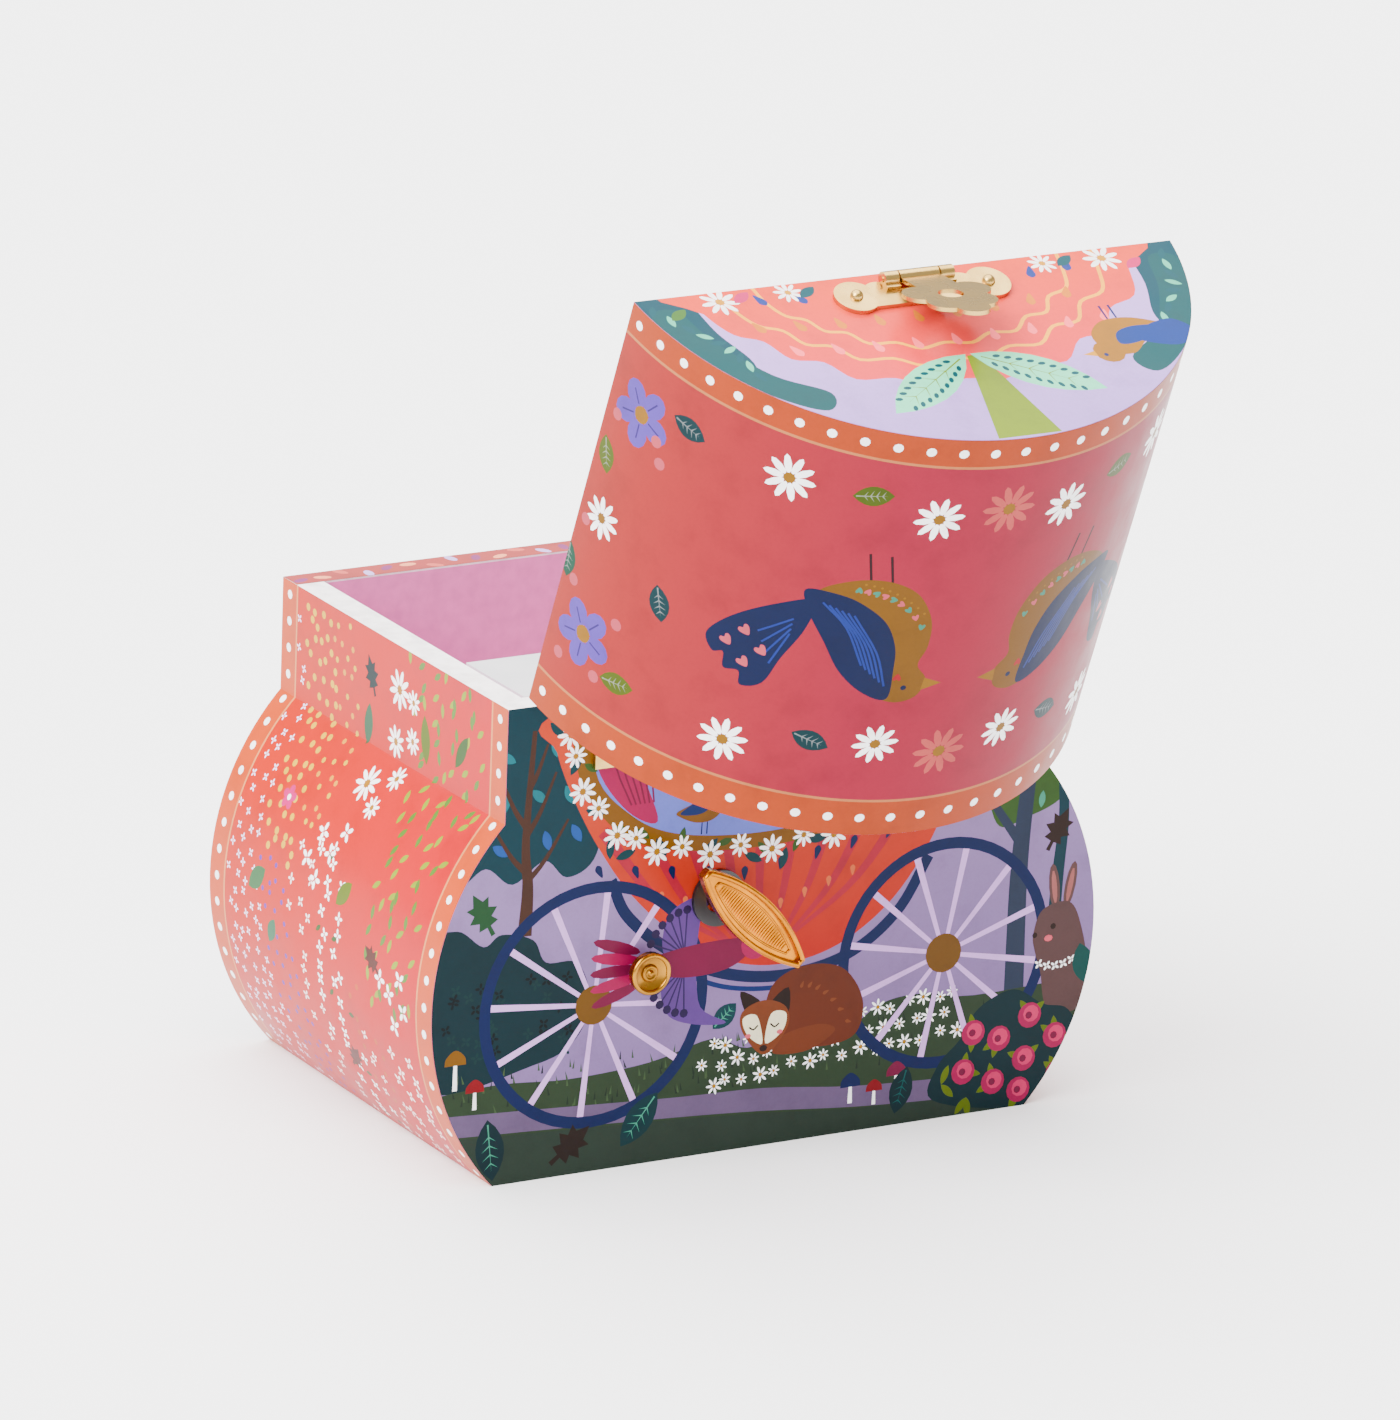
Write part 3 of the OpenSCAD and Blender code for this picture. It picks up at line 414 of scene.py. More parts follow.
def board_edge(name):
    # White-wrapped greyboard edge: chalky white with a light grey grain.
    m, s = material(name)
    where = grained(m, s, 0.6, 0.04, 0.3)
    n = add(m, "ShaderNodeTexNoise", Vector=where, Scale=1 / (3 * MM), Detail=5.0)
    join(m, s, "Base Color", ramp(m, n.outputs[0], [(0.3, ink("DAD4D2")), (0.6, ink("F2EEEC"))]))
    join(m, s, "Roughness", 0.55)
    return m


def lined_board(name, code):
    # Board panel as it is papered: chalky white over the rim, dyed lining below it.
    m, s = material(name)
    where = grained(m, s, 0.6, 0.04, 0.3)
    n = add(m, "ShaderNodeTexNoise", Vector=where, Scale=1 / (3 * MM), Detail=5.0)
    height = add(m, "ShaderNodeSeparateXYZ", Vector=where).outputs["Z"]
    at_rim = add(m, "ShaderNodeMapRange", Value=height, From_Min=(RIM - 0.4) * MM, From_Max=(RIM - 0.3) * MM)
    white = ramp(m, n.outputs[0], [(0.3, ink("DAD4D2")), (0.6, ink("F2EEEC"))])
    dyed = ramp(m, n.outputs[0], [(0.3, mix(ink(code), (0, 0, 0), 0.14)), (0.65, ink(code))])
    both = add(m, "ShaderNodeMix", {"data_type": "RGBA"}, i0=at_rim.outputs[0], i6=dyed, i7=white)
    join(m, s, "Base Color", both.outputs[2])
    join(m, s, "Roughness", 0.58)
    return m


def plated(name, code, rough, dull):
    # Stamped steel, polished and gold plated: warm metal, fine polishing marks and
    # a little dulling in patches.
    m, s = material(name)
    where = grained(m, s, 0.5, 0.004, 0.15)
    n = add(m, "ShaderNodeTexNoise", Vector=where, Scale=1 / (5 * MM), Detail=4.0)
    c = ink(code)
    join(m, s, "Base Color", ramp(m, n.outputs[0], [(0.3, mix(c, ink(dull), 0.45)), (0.6, c)]))
    spread = add(m, "ShaderNodeMapRange", Value=n.outputs[0], From_Min=0.3, From_Max=0.7, To_Min=rough + 0.1,
                 To_Max=rough)
    join(m, s, "Roughness", spread.outputs[0])
    join(m, s, "Metallic", 1.0)
    return m


def moulded(name, code, rough):
    # Injection-moulded plastic, lightly glossy with a fine mould texture.
    m, s = material(name)
    where = grained(m, s, 0.4, 0.01, 0.2)
    n = add(m, "ShaderNodeTexNoise", Vector=where, Scale=1 / (4 * MM), Detail=3.0)
    c = ink(code)
    join(m, s, "Base Color", ramp(m, n.outputs[0], [(0.3, mix(c, (0, 0, 0), 0.1)), (0.7, c)]))
    join(m, s, "Roughness", rough)
    return m


def velour(name, code):
    # Cotton velour on foam: short pile that pales at a slant, with brushed patches.
    m, s = material(name)
    where = grained(m, s, 0.35, 0.12, 0.6)
    nap = add(m, "ShaderNodeTexNoise", Vector=where, Scale=1 / (9 * MM), Detail=6.0, Roughness=0.6)
    c = ink(code)
    join(m, s, "Base Color", ramp(m, nap.outputs[0], [(0.3, mix(c, (0, 0, 0), 0.3)), (0.7, c)]))
    join(m, s, "Roughness", 0.9)
    join(m, s, "Sheen Weight", 0.5)
    join(m, s, "Sheen Roughness", 0.4)
    return m


def net(name, code):
    # Stiff nylon tulle: open mesh cells with fine threads between, faintly shiny.
    m, s = material(name)
    where = grained(m, s, 0.4, 0.05, 0.3)
    cells = add(m, "ShaderNodeTexVoronoi", {"feature": "DISTANCE_TO_EDGE"}, Vector=where,
                Scale=1 / (0.9 * MM))
    join(m, s, "Alpha", ramp(m, cells.outputs[0], [(0.1, 1.0), (0.22, 0.6)]))
    tint = add(m, "ShaderNodeTexNoise", Vector=where, Scale=1 / (5 * MM), Detail=3.0)
    c = ink(code)
    join(m, s, "Base Color", ramp(m, tint.outputs[0], [(0.3, mix(c, (0, 0, 0), 0.12)), (0.7, c)]))
    join(m, s, "Roughness", 0.5)
    join(m, s, "Sheen Weight", 0.3)
    return m


def silvered(name):
    # Silvered acrylic under a milky lacquer: pale, with soft mirror images.
    m, s = material(name)
    where = grained(m, s, 6, 0.002, 0.1)
    n = add(m, "ShaderNodeTexNoise", Vector=where, Scale=1 / (8 * MM), Detail=3.0)
    join(m, s, "Base Color", ramp(m, n.outputs[0], [(0.3, ink("EEF0F2")), (0.7, ink("F8F8F9"))]))
    join(m, s, "Metallic", 0.4)
    join(m, s, "Roughness", 0.04)
    return m


PRINT = printed_paper("film_laminated_print", 0.34)
LINING = lining_paper("pink_lining_paper", "E27FBB")
EDGE = board_edge("white_wrapped_board")
WALL_BOARD = lined_board("papered_wall_board", "E27FBB")
HASP_GOLD = plated("pale_gold_plated_steel", "C9A55E", 0.22, "9A7630")
KEY_GOLD = plated("yellow_gold_plated_steel", "C07600", 0.2, "8A4C08")
KNOB_BRASS = plated("turned_brass", "A87420", 0.22, "6E4A1C")
CAST_GILT = plated("gilt_die_casting", "C9A963", 0.38, "8D7440")
CUT_BRASS = plated("cut_brass", "D8B366", 0.25, "93702F")
STEEL = plated("bright_steel", "C9CBCF", 0.26, "8E9299")
MIRROR = silvered("silvered_acrylic")
BLACK = moulded("black_moulded_plastic", "101013", 0.35)
SKIN_TONE = moulded("painted_figure_resin", "F2C7AE", 0.4)
HAIR = moulded("brown_painted_hair", "4A2A1C", 0.45)
BODICE = moulded("rose_painted_bodice", "D9719B", 0.38)
VELOUR = velour("pink_velour", "D9669F")
TULLE = net("pink_tulle", "F0A2C0")
PINK_PLASTIC = moulded("pale_pink_plastic", "F3B7CB", 0.35)

FINISHES = {
    "printed_front": WALL_BOARD, "printed_back": WALL_BOARD, "printed_wall": WALL_BOARD,
    "printed_lid": LINING,
    "printed_lid_end": LINING, "lining": LINING, "lining_pad": LINING, "stage": EDGE, "mirror": MIRROR,
    "grommet": BLACK, "gold": HASP_GOLD, "key_gold": KEY_GOLD, "knob_brass": KNOB_BRASS,
    "movement_plate": CAST_GILT, "movement_brass": CUT_BRASS, "movement_steel": STEEL,
    "figure_disc": PINK_PLASTIC, "figure_spring": STEEL, "dancer": SKIN_TONE, "tutu": PINK_PLASTIC,
}
SLOT_OF = {p["node"]: p["material_slot"] for p in frame["record"]["subparts"]}
for node, slot in SLOT_OF.items():
    obj = frame["nodes"][node]
    for one in (obj if isinstance(obj, (list, tuple)) else [obj]):
        one = bpy.data.objects[one] if isinstance(one, str) else one
        if not one.material_slots:
            one.data.materials.append(FINISHES[slot])
        for ms in one.material_slots:
            ms.material = FINISHES[slot]


# ---- the coach picture on the front and back ----------------------------------------

def box_outline():
    right = [wall_point(WALL_ARC * i / 40) for i in range(41)] + [(NECK, RIM)]
    return right + [(-x, z) for x, z in reversed(right)]


def wheel(pr, x, z, r, spin=0.1):
    for i in range(12):
        a = spin + TAU * i / 12
        inner, outer = 3, r - 1.2
        pr.line([(x + inner * math.cos(a), z + inner * math.sin(a)),
                 (x + outer * math.cos(a), z + outer * math.sin(a))], 0.9, ink("E3AEF9"), 1.5)
    pr.ring(x, z, r - 2.4, r, NAVY)
    pr.put(oval(x, z, 4.1, n=20), ink("784F0E"))


def tree(pr, x, z, spots):
    """Brown trunk and branches in front of a dark crown with leaf spots."""
    pr.put(smooth([(x - 15, z + 14), (x - 9, z + 11), (x - 4, z + 15), (x + 3, z + 11), (x + 9, z + 15),
                   (x + 15, z + 12), (x + 20, z + 18), (x + 20, z + 46), (x - 12, z + 48), (x - 16, z + 38),
                   (x - 17, z + 24)]), DARK_TEAL)
    for i, (p, q) in enumerate(spots):
        pr.leaf(x + p, z + q, 4.4, 2.0, math.radians(60 + 35 * math.sin(3 * i)),
                ink("0E7A86") if i % 3 else ink("1E55A8"))
    pr.line(path([(x, z), (x - 0.4, z + 10), (x + 0.3, z + 20), (x - 1, z + 42)]), 3.2, BROWN, 1.0)
    for dx, base, dz in ((-9, 11, 12), (8, 13, 11), (-6, 21, 12), (7, 22, 13), (-4, 30, 9)):
        pr.line(path([(x, z + base), (x + dx * 0.45, z + base + dz * 0.35), (x + dx, z + base + dz)], 4), 1.4,
                BROWN, 0.5)


def fox(pr, x, z):
    """A small sleeping fox of plain shapes, curled round its tail."""
    pr.put(smooth([(x - 17, z - 6), (x - 18, z + 1), (x - 13, z + 8), (x - 4, z + 9.5), (x + 3, z + 6),
                   (x + 4, z - 3), (x - 3, z - 7), (x - 11, z - 8)]), ink("6E2E14"))
    for i in range(7):
        pr.drop(x - 4 - 1.8 * i, z + 5.5 - 0.25 * i * i, 0.6, ink("8A4420"), 0.4 + 0.25 * i)
    pr.put(smooth([(x + 2, z - 8), (x - 6, z - 8.4), (x - 12, z - 5), (x - 8, z - 3.2), (x, z - 4.5)]),
           ink("7A3818"))
    pr.put(smooth([(x + 10, z + 6), (x + 8, z + 0.5), (x + 5, z + 3)], 4), ink("2E1912"))
    pr.put(smooth([(x - 1, z + 5.5), (x - 1, z + 0), (x + 3, z + 2.5)], 4), ink("2E1912"))
    pr.put(smooth([(x + 9.5, z + 1.5), (x + 4.5, z + 3.5), (x - 0.5, z + 1.5), (x - 1, z - 3), (x + 4, z - 8),
                   (x + 9, z - 3)]), ink("84401C"))
    pr.put(smooth([(x + 9.2, z + 0.2), (x + 6, z + 0.4), (x + 4.6, z - 5.6), (x + 8, z - 3.4)], 5), CREAM)
    pr.put(smooth([(x - 0.6, z + 0.2), (x + 2.8, z + 0.4), (x + 3.9, z - 5.6), (x + 0, z - 3.4)], 5), CREAM)
    for s in (1, -1):
        pr.line(path([(x + 4.3 + s * 1.4, z - 1.6), (x + 4.3 + s * 2.4, z - 2.4),
                      (x + 4.3 + s * 3.4, z - 1.8)], 3), 0.35, DARK_BROWN)
        pr.put(oval(x + 4.3 + s * 3.6, z - 3.6, 0.7, 0.5, n=8), PINK)
    pr.put(oval(x + 4.3, z - 6.6, 0.9, 0.7, n=8), DARK_BROWN)


def rabbit(pr, x, z):
    for dx, lean in ((-1.5, -0.12), (2.2, 0.18)):
        pr.put(oval(x - dx, z + 12.5, 1.25, 5.0, lean, 12), ink("694745"))
        pr.put(oval(x - dx, z + 12.5, 0.6, 3.6, lean, 10), ink("B76864"))
    pr.put(smooth([(x + 6, z + 3), (x + 4, z + 8), (x - 2, z + 9), (x - 5, z + 4), (x - 7, z - 6),
                   (x - 5, z - 14), (x + 2, z - 13), (x + 4, z - 5), (x + 5.5, z - 0.5)]), ink("604241"))
    pr.put(oval(x + 1.4, z + 4.2, 0.65, n=8), DARK_BROWN)
    pr.put(oval(x + 5.6, z + 2.8, 0.6, n=8), DARK_BROWN)
    pr.put(oval(x + 2.4, z + 1.8, 1.0, 0.7, n=8), PINK)
    for i in range(5):
        pr.cross(x + 4.4 - 1.9 * i, z - 3.4 + 0.5 * i * (i - 4) * 0.4, 1.1, WHITE)


def flying_bird(pr, x, z):
    """A small long-tailed bird, wings out, beak toward falling x."""
    for s in (1, -1):
        tip = [(x + 3, z + 1 * s), (x + 1, z + 10 * s), (x - 5, z + 14 * s), (x + 2, z + 13.5 * s),
               (x + 8, z + 11 * s), (x + 10, z + 6 * s), (x + 9, z + 1.5 * s)]
        pr.put(smooth(tip, 5), ink("694297"))
        for i in range(6):
            a = (0.45 + 0.21 * i) * s
            pr.line([(x + 5, z + 1.5 * s), (x + 4 + 9.5 * math.cos(a), z + 10.5 * math.sin(a))], 0.35,
                    ink("38205B"))
            pr.put(oval(x + 4 + 9.6 * math.cos(a), z + 10.8 * math.sin(a), 0.95, n=8), ink("2C174B"))
    for i in range(5):
        a = -0.32 + 0.16 * i
        pr.put(oval(x + 15 + 5.5 * math.cos(a), z + 16 * math.sin(a), 5.6, 1.25, a, 12),
               ROSE if i % 2 else MAGENTA)
    pr.put(smooth([(x - 11, z + 2), (x - 6, z + 3.4), (x + 5, z + 3), (x + 14, z + 1.2), (x + 14, z - 1.2),
                   (x + 4, z - 3.4), (x - 6, z - 2.4)]), MAGENTA)
    pr.put(oval(x - 11, z + 1.6, 3.2, n=14), ROSE)
    pr.put([(x - 13.6, z + 2.4), (x - 17, z + 1.3), (x - 13.6, z + 0.4)], YELLOW)
    pr.put(oval(x - 12, z + 2.2, 0.45, n=8), NAVY)


def standing_bird(pr, x, z, flip=1, size=1.0):
    put = lambda pts, c: pr.put([(x + flip * size * p, z + size * q) for p, q in pts], c)
    for dx in (-0.4, 1.2):
        put([(dx, -4), (dx + 0.3, -4), (dx + 0.5, -8), (dx + 0.1, -8)], NAVY)
    put(smooth([(-4, 3), (0, 4), (4, 1), (9, -1), (8, -2.5), (3, -4.6), (-2, -4.2), (-5, -1)]), OCHRE)
    put(oval(-4, 3, 2.6, n=14), OCHRE)
    put([(-6.3, 3.8), (-8.6, 3), (-6.3, 2.4)], YELLOW)
    put(smooth([(-1, 1.5), (3, 1.2), (8, -1.6), (3, -2.4), (-0.5, -1.2)]), BLUE)
    put(oval(-4.8, 3.6, 0.4, n=8), NAVY)


def rose_bush(pr, x, z):
    pr.put(smooth([(x + 17, z + 1), (x + 16, z + 8), (x + 11, z + 13), (x + 7, z + 19), (x - 1, z + 22),
                   (x - 8, z + 18), (x - 14, z + 16), (x - 17, z + 8), (x - 12, z - 1), (x, z - 3)]), BUSH)
    rng = random.Random(4)
    for i, (p, q) in enumerate(((-11, 11), (-5, 16), (-4, 7), (2, 12), (8, 14), (10, 6), (-12, 3), (3, 3),
                                (-3, 0.5), (-15, 7), (15, 4), (9, 0.5))):
        for k in range(2):
            pr.leaf(x + p, z + q, 4.2, 1.6, rng.uniform(0, TAU), LIME)
        if i < 10:
            pr.put(oval(x + p, z + q, 2.7, n=14), ROSE)
            pr.put(oval(x + p - 0.3, z + q + 0.3, 1.8, n=10), ink("F12D70"))
            pr.put(oval(x + p + 0.2, z + q, 0.8, n=8), MAGENTA)


def coach_scene(keyed):
    """The whole picture; keyed adds the bird that flies beside the stop knob."""
    # The weight 0.5 paints shade into the coach picture: its coloured inks print darker, as on a panel in
    # shade.
    pr = Print(box_outline(), lambda u, v: mix(LILAC_DEEP, LILAC, 0.4 + v / 120), 0.5)
    rng = random.Random(11)
    # far trees at the right edge
    pr.put(smooth([(-38, 99), (-40, 78), (-48, 68), (-52, 60), (-58, 61), (-66, 64), (-74, 72), (-72, 99)]),
           LEAF)
    pr.put(smooth([(-50, 99), (-52, 80), (-61, 72), (-72, 76), (-70, 99)]), ink("234E36"))
    for i in range(26):
        pr.leaf(rng.uniform(-70, -42), rng.uniform(64, 96), 3.6, 1.5, rng.uniform(0, TAU),
                LIME if i % 2 else MINT)
    pr.line(path([(-57, 22), (-57, 48), (-58, 64), (-60, 84)]), 4.6, SLATE, 3)
    pr.line(path([(-65, 22), (-66, 46), (-67, 60), (-66, 74)]), 3.2, DARK_TEAL, 2)
    pr.line(path([(-57, 56), (-50, 66), (-47, 74)]), 2.2, SLATE, 1)
    pr.oak_leaf(-66, 58, 4.0, 0.5, DARK_BROWN)
    # near tree and bushes at the left
    tree(pr, 55, 51, [(-12, 18), (-10, 26), (-12, 34), (-5, 17), (-4, 27), (-6, 36), (4, 17), (5, 26),
                      (3, 36), (10, 18), (12, 26), (11, 34), (14, 40), (-9, 42)])
    pr.put(smooth([(76, 50), (70, 54), (64, 50), (60, 52), (53, 50), (50, 45), (43, 44), (40, 36), (43, 28),
                   (52, 24), (76, 22)]), BUSH)
    for i in range(34):
        p, q = rng.uniform(44, 73), rng.uniform(26, 42)
        pr.cross(p, q, 1.3, ink("0D393A") if i % 2 else ink("0B161B"), rng.uniform(0, 1))
    pr.oak_leaf(64.5, 57, 4.2, -0.5, ink("22502C"))
    # grass, road and ground
    pr.put(path([(78, 20), (60, 21), (44, 20), (26, 21), (12, 24), (4, 21), (-6, 23), (-16, 20), (-26, 26),
                 (-36, 27), (-48, 25), (-78, 26)], 5) + [(-78, -2), (78, -2)], GRASS)
    for i in range(150):
        p, q = rng.uniform(-60, 70), rng.uniform(13, 23)
        pr.put([(p, q), (p + 0.5, q), (p + 0.4 + rng.uniform(-0.5, 0.5), q + 1.9)],
               ink("435B37") if i % 2 else ink("253628"))
    pr.put(path([(78, 16.2), (50, 14.6), (20, 12.8), (0, 12), (-20, 9.6), (-40, 8.4), (-62, 7)], 4)
           + path([(-62, 3.4), (-40, 4), (-20, 5.2), (0, 7.2), (20, 8.6), (50, 10.2), (78, 11.6)], 4), ROAD)
    for i in range(48):
        p = 12 - 3.7 * (i % 16) + 1.8 * (i // 16 % 2) + rng.uniform(-0.9, 0.9)
        pr.daisy(p, 14.6 + 3.9 * (i // 16) + 0.07 * (12 - p) + rng.uniform(-0.9, 0.9), 1.3 if i % 3 else 1.8,
                 petals=7, spin=i)
    pr.put([(78, 11.2), (50, 9.8), (20, 8.2), (0, 6.8), (-20, 4.8), (-62, 3), (-62, -2), (78, -2)], GROUND)
    # the coach: body, stripes, drops, window
    body = smooth([(50, 96), (49, 88), (45, 78), (39, 67), (31, 56), (20, 46), (8, 39.5), (-4, 37.6),
                   (-16, 40), (-27, 47), (-35, 57), (-40, 68), (-42, 80), (-43, 99), (4, 110)])
    pr.put(body, lambda u, v: mix(ink("D41E0E"), ink("E14321"), (v - 38) / 40))
    for i in range(-4, 5):
        top = (3 + i * 8.8, 74 - abs(i) * 0.9)
        pr.line(path([(2 + i * 2.0, 40 + abs(i) * 1.0), (2.5 + i * 5.6, 54), top], 5), 0.7, ink("C01C3A"),
                2.6)
    for i in range(-4, 5):
        pr.drop(6 + i * 8.2, 58 + abs(i) * 1.1, 1.2, NAVY, math.pi - 0.12 * i)
        pr.drop(3 + i * 5.4, 49 + abs(i) * 1.6, 0.9, ink("F6733B"), math.pi)
    frame_line = [(46, 92), (43, 80), (35, 70), (26, 65.5), (14, 63.4), (0, 62.8), (-14, 64), (-26, 67),
                  (-34, 73), (-38, 84)]
    pr.put(path(frame_line, 5) + [(-38, 99), (46, 99)], OCHRE)
    pr.put(path([(42, 94), (39.5, 81), (32, 73), (24, 68.6), (13, 66.4), (0, 65.8), (-12, 67), (-23, 70),
                 (-30.5, 75.5), (-34, 85)], 5) + [(-34, 99), (42, 99)], PERI)
    pr.put(smooth([(41, 98), (40, 84), (33, 74), (26, 71), (30, 82), (33, 92), (28, 99)]), ROSE)
    pr.put(smooth([(-33, 98), (-32, 86), (-26, 75), (-19, 72), (-22, 82), (-25, 92), (-20, 99)]), ROSE)
    for i in range(6):
        pr.line(path([(38 - i * 2, 96), (36 - i * 1.6, 84), (32 - i, 75)], 3), 0.4, MAGENTA)
    standing_bird(pr, 15, 73, 1, 0.75)
    standing_bird(pr, -8, 73, -1, 0.75)
    for i, (p, q) in enumerate(path(frame_line, 3)[::2]):
        pr.leaf(p + 1.5, q - 1, 4.6, 1.9, 0.8 + 1.3 * i, TEAL)
        pr.leaf(p - 1.5, q + 1, 3.6, 1.5, 2.6 + 1.1 * i, LEAF)
    for i, (p, q) in enumerate(path(frame_line, 2)):
        pr.daisy(p, q + (0.8 if i % 2 else -0.8), 2.5 if i % 2 else 3.0, spin=0.3 * i)
    # chassis, wheels
    pr.line(path([(36, 60), (32, 52), (22, 43.5), (10, 37.4), (-4, 35.2), (-18, 37.6), (-29, 45), (-36, 56)],
                 8), 2.4, NAVY)
    pr.line(path([(24, 41), (10, 34.6), (-4, 32.8), (-16, 34.6)], 8), 1.0, BLUE)
    wheel(pr, 39, 34.7, 25.5)
    wheel(pr, -40.3, 34.9, 24.2, 0.2)
    # animals
    fox(pr, -4, 27)
    pr.leaf(12, 26, 7, 4.4, 2.4, TEAL, MINT)
    rabbit(pr, -67, 33)
    pr.leaf(-74, 24, 9, 5, 1.35, ink("054E49"))
    if keyed:
        flying_bird(pr, 14, 41)
    rose_bush(pr, -56, 3)
    # toadstools and leaves along the road
    pr.mushroom(69.5, 21, 2.4, OCHRE, 2.2)
    pr.mushroom(65, 16.5, 2.1, RED, 1.7)
    for p, q, r, c in ((-20, 6, 2.3, NAVY), (-25.5, 5, 1.9, RED), (-30.5, 7, 2.3, MAGENTA)):
        pr.mushroom(p, q, r, c, 1.5)
    pr.leaf(62, 14, 13, 6.4, math.radians(-62) - 0.6, ink("052E36"), MINT)
    pr.leaf(24, 14.5, 13, 6.2, math.radians(-58) + 0.1, ink("05383E"), MINT)
    pr.oak_leaf(43, 6.5, 4.6, 0.9, ink("2E1F18"))
    pr.leaf(-33, 12, 10, 5.2, math.radians(-75), ink("052F36"), ink("055B59"))
    return pr


# ---- prints on the curved walls, the lid's ends and its bent skin ------------------------

def dotted_band(pr, u0, u1, v0, v1, along, step):
    """A salmon band with a row of white dots and a pale line on its inner side."""
    pr.put([(u0, v0), (u1, v0), (u1, v1), (u0, v1)], BAND)
    if along == "v":
        n = int((v1 - v0) / step)
        pr.dots([((u0 + u1) / 2, v0 + (i + 0.5) * (v1 - v0) / n) for i in range(n)], 0.95, WHITE)
        e = u1 if abs(u1) < abs(u0) else u0
        pr.put([(e - 0.3, v0), (e + 0.3, v0), (e + 0.3, v1), (e - 0.3, v1)], ink("F99759"))
    else:
        n = int((u1 - u0) / step)
        pr.dots([(u0 + (i + 0.5) * (u1 - u0) / n, (v0 + v1) / 2) for i in range(n)], 1.0, WHITE)
        e = v1 if abs(v1) < abs(v0) else v0
        pr.put([(u0, e - 0.3), (u1, e - 0.3), (u1, e + 0.3), (u0, e + 0.3)], ink("F99759"))


def wall_print(seed):
    """Coral meadow of scattered blossoms; u runs from front to back, v up the wall."""
    # The weight 0.52 paints shade into the wall print: its coloured inks print darker.
    pr = Print([(FRONT, 0), (BACK, 0), (BACK, WALL_LEN), (FRONT, WALL_LEN)],
               lambda u, v: mix(mix(ink("E02A00"), ink("E21420"), (u + 48) / 80), ink("E41C2C"),
                                (40 - v) / 60), 0.52)
    rng = random.Random(seed)
    step = 3.7
    for i in range(23):
        for j in range(31):
            u = -39.5 + step * i + (step / 2 if j % 2 else 0) + rng.uniform(-1.1, 1.1)
            v = 3 + step * j * 0.93 + rng.uniform(-1.1, 1.1)
            if u > 39 or v > WALL_LEN - 2:
                continue
            lean = u + 0.22 * (v - 55)  # the bands of one colour lean back as they rise
            spin = rng.uniform(0, 1.5)
            if lean < -29:
                pr.cross(u, v, 1.0, ink("F4DCFA"), spin)
            elif lean < -16:
                if v > 52:
                    pr.dots([(u, v)], 0.85, ink("FFC81E"), 8)
                else:
                    pr.dots([(u, v)], 0.6, VIOLET, 6)
            elif lean < -7:
                if v > 60:
                    pr.dots([(u, v)], 0.7, ink("FFC81E") if j % 2 else ink("FFA828"), 6)
                elif (i + j) % 2:
                    pr.cross(u, v, 1.25, ink("FCE4E0"), spin)
            elif lean < 6:
                if v < 62 and (i + j) % 2:
                    pr.cross(u, v, 1.5, WHITE, spin)
                elif v < 62 and not j % 4:
                    pr.leaf(u, v, 2.4, 1.1, spin, LEAF)
            elif lean < 17:
                if v < 40 and (i + j) % 2:
                    pr.dots([(u, v)], 0.7, ink("DA5705"), 6)
                elif v < 30:
                    pr.cross(u, v, 1.2, ink("FCE4E0"), spin)
            elif v > 34 and (i + 2 * j) % 3:
                pr.leaf(u, v, 3.2, 1.35, 1.2 + 0.6 * math.sin(u),
                        ink("9AB010") if (i + j) % 2 else ink("5E8A2A"))
            elif v < 28 and (i + j) % 2:
                pr.cross(u, v, 1.6, ink("FCE4E0"), spin)
    for u, z, r in ((3, 89, 4.2), (-1, 69, 4.0), (2, 78, 3.4), (9, 80, 2.8), (7, 72, 2.8), (9, 88, 2.6),
                    (5, 66, 2.6)):
        pr.daisy(u, wall_s(z), r, spin=0.2 * u)
    for u, z in ((-7, 58), (-2, 55), (-10, 52), (-5, 49), (1, 60), (34, 40), (30, 36), (36, 34), (32, 30),
                 (26, 38)):
        pr.cross(u, wall_s(z), 2.2, WHITE, 0.5 + 0.1 * u)
    pr.oak_leaf(-9, wall_s(89), 3.6, 0.4, PINE)
    pr.oak_leaf(22, wall_s(41), 3.2, 1.0, ink("562219"))
    pr.oak_leaf(9, wall_s(16), 3.4, -0.8, ink("5E211A"))
    for u, z, length, width, angle, c in ((-10, 74, 9, 3.6, 1.5, ink("2C6341")), (5, 47, 7, 4.0, 0.9, LIME),
                                          (-31, 40, 8, 4.4, 0.7, ink("37703E")),
                                          (-22, 31, 6, 3.4, 1.1, ink("2C724E")),
                                          (15, 77, 10, 3.8, 1.7, ink("5C7105")), (27, 80, 9, 3.2, 1.0, LEAF)):
        pr.leaf(u, wall_s(z), length, width, angle, c)
    pr.bloom(-24, wall_s(60), 2.6, ink("E70582"), WHITE)
    dotted_band(pr, -48, -41.6, 0, WALL_LEN, "v", 5.3)
    dotted_band(pr, 41.6, 48, 0, WALL_LEN, "v", 5.3)
    return pr


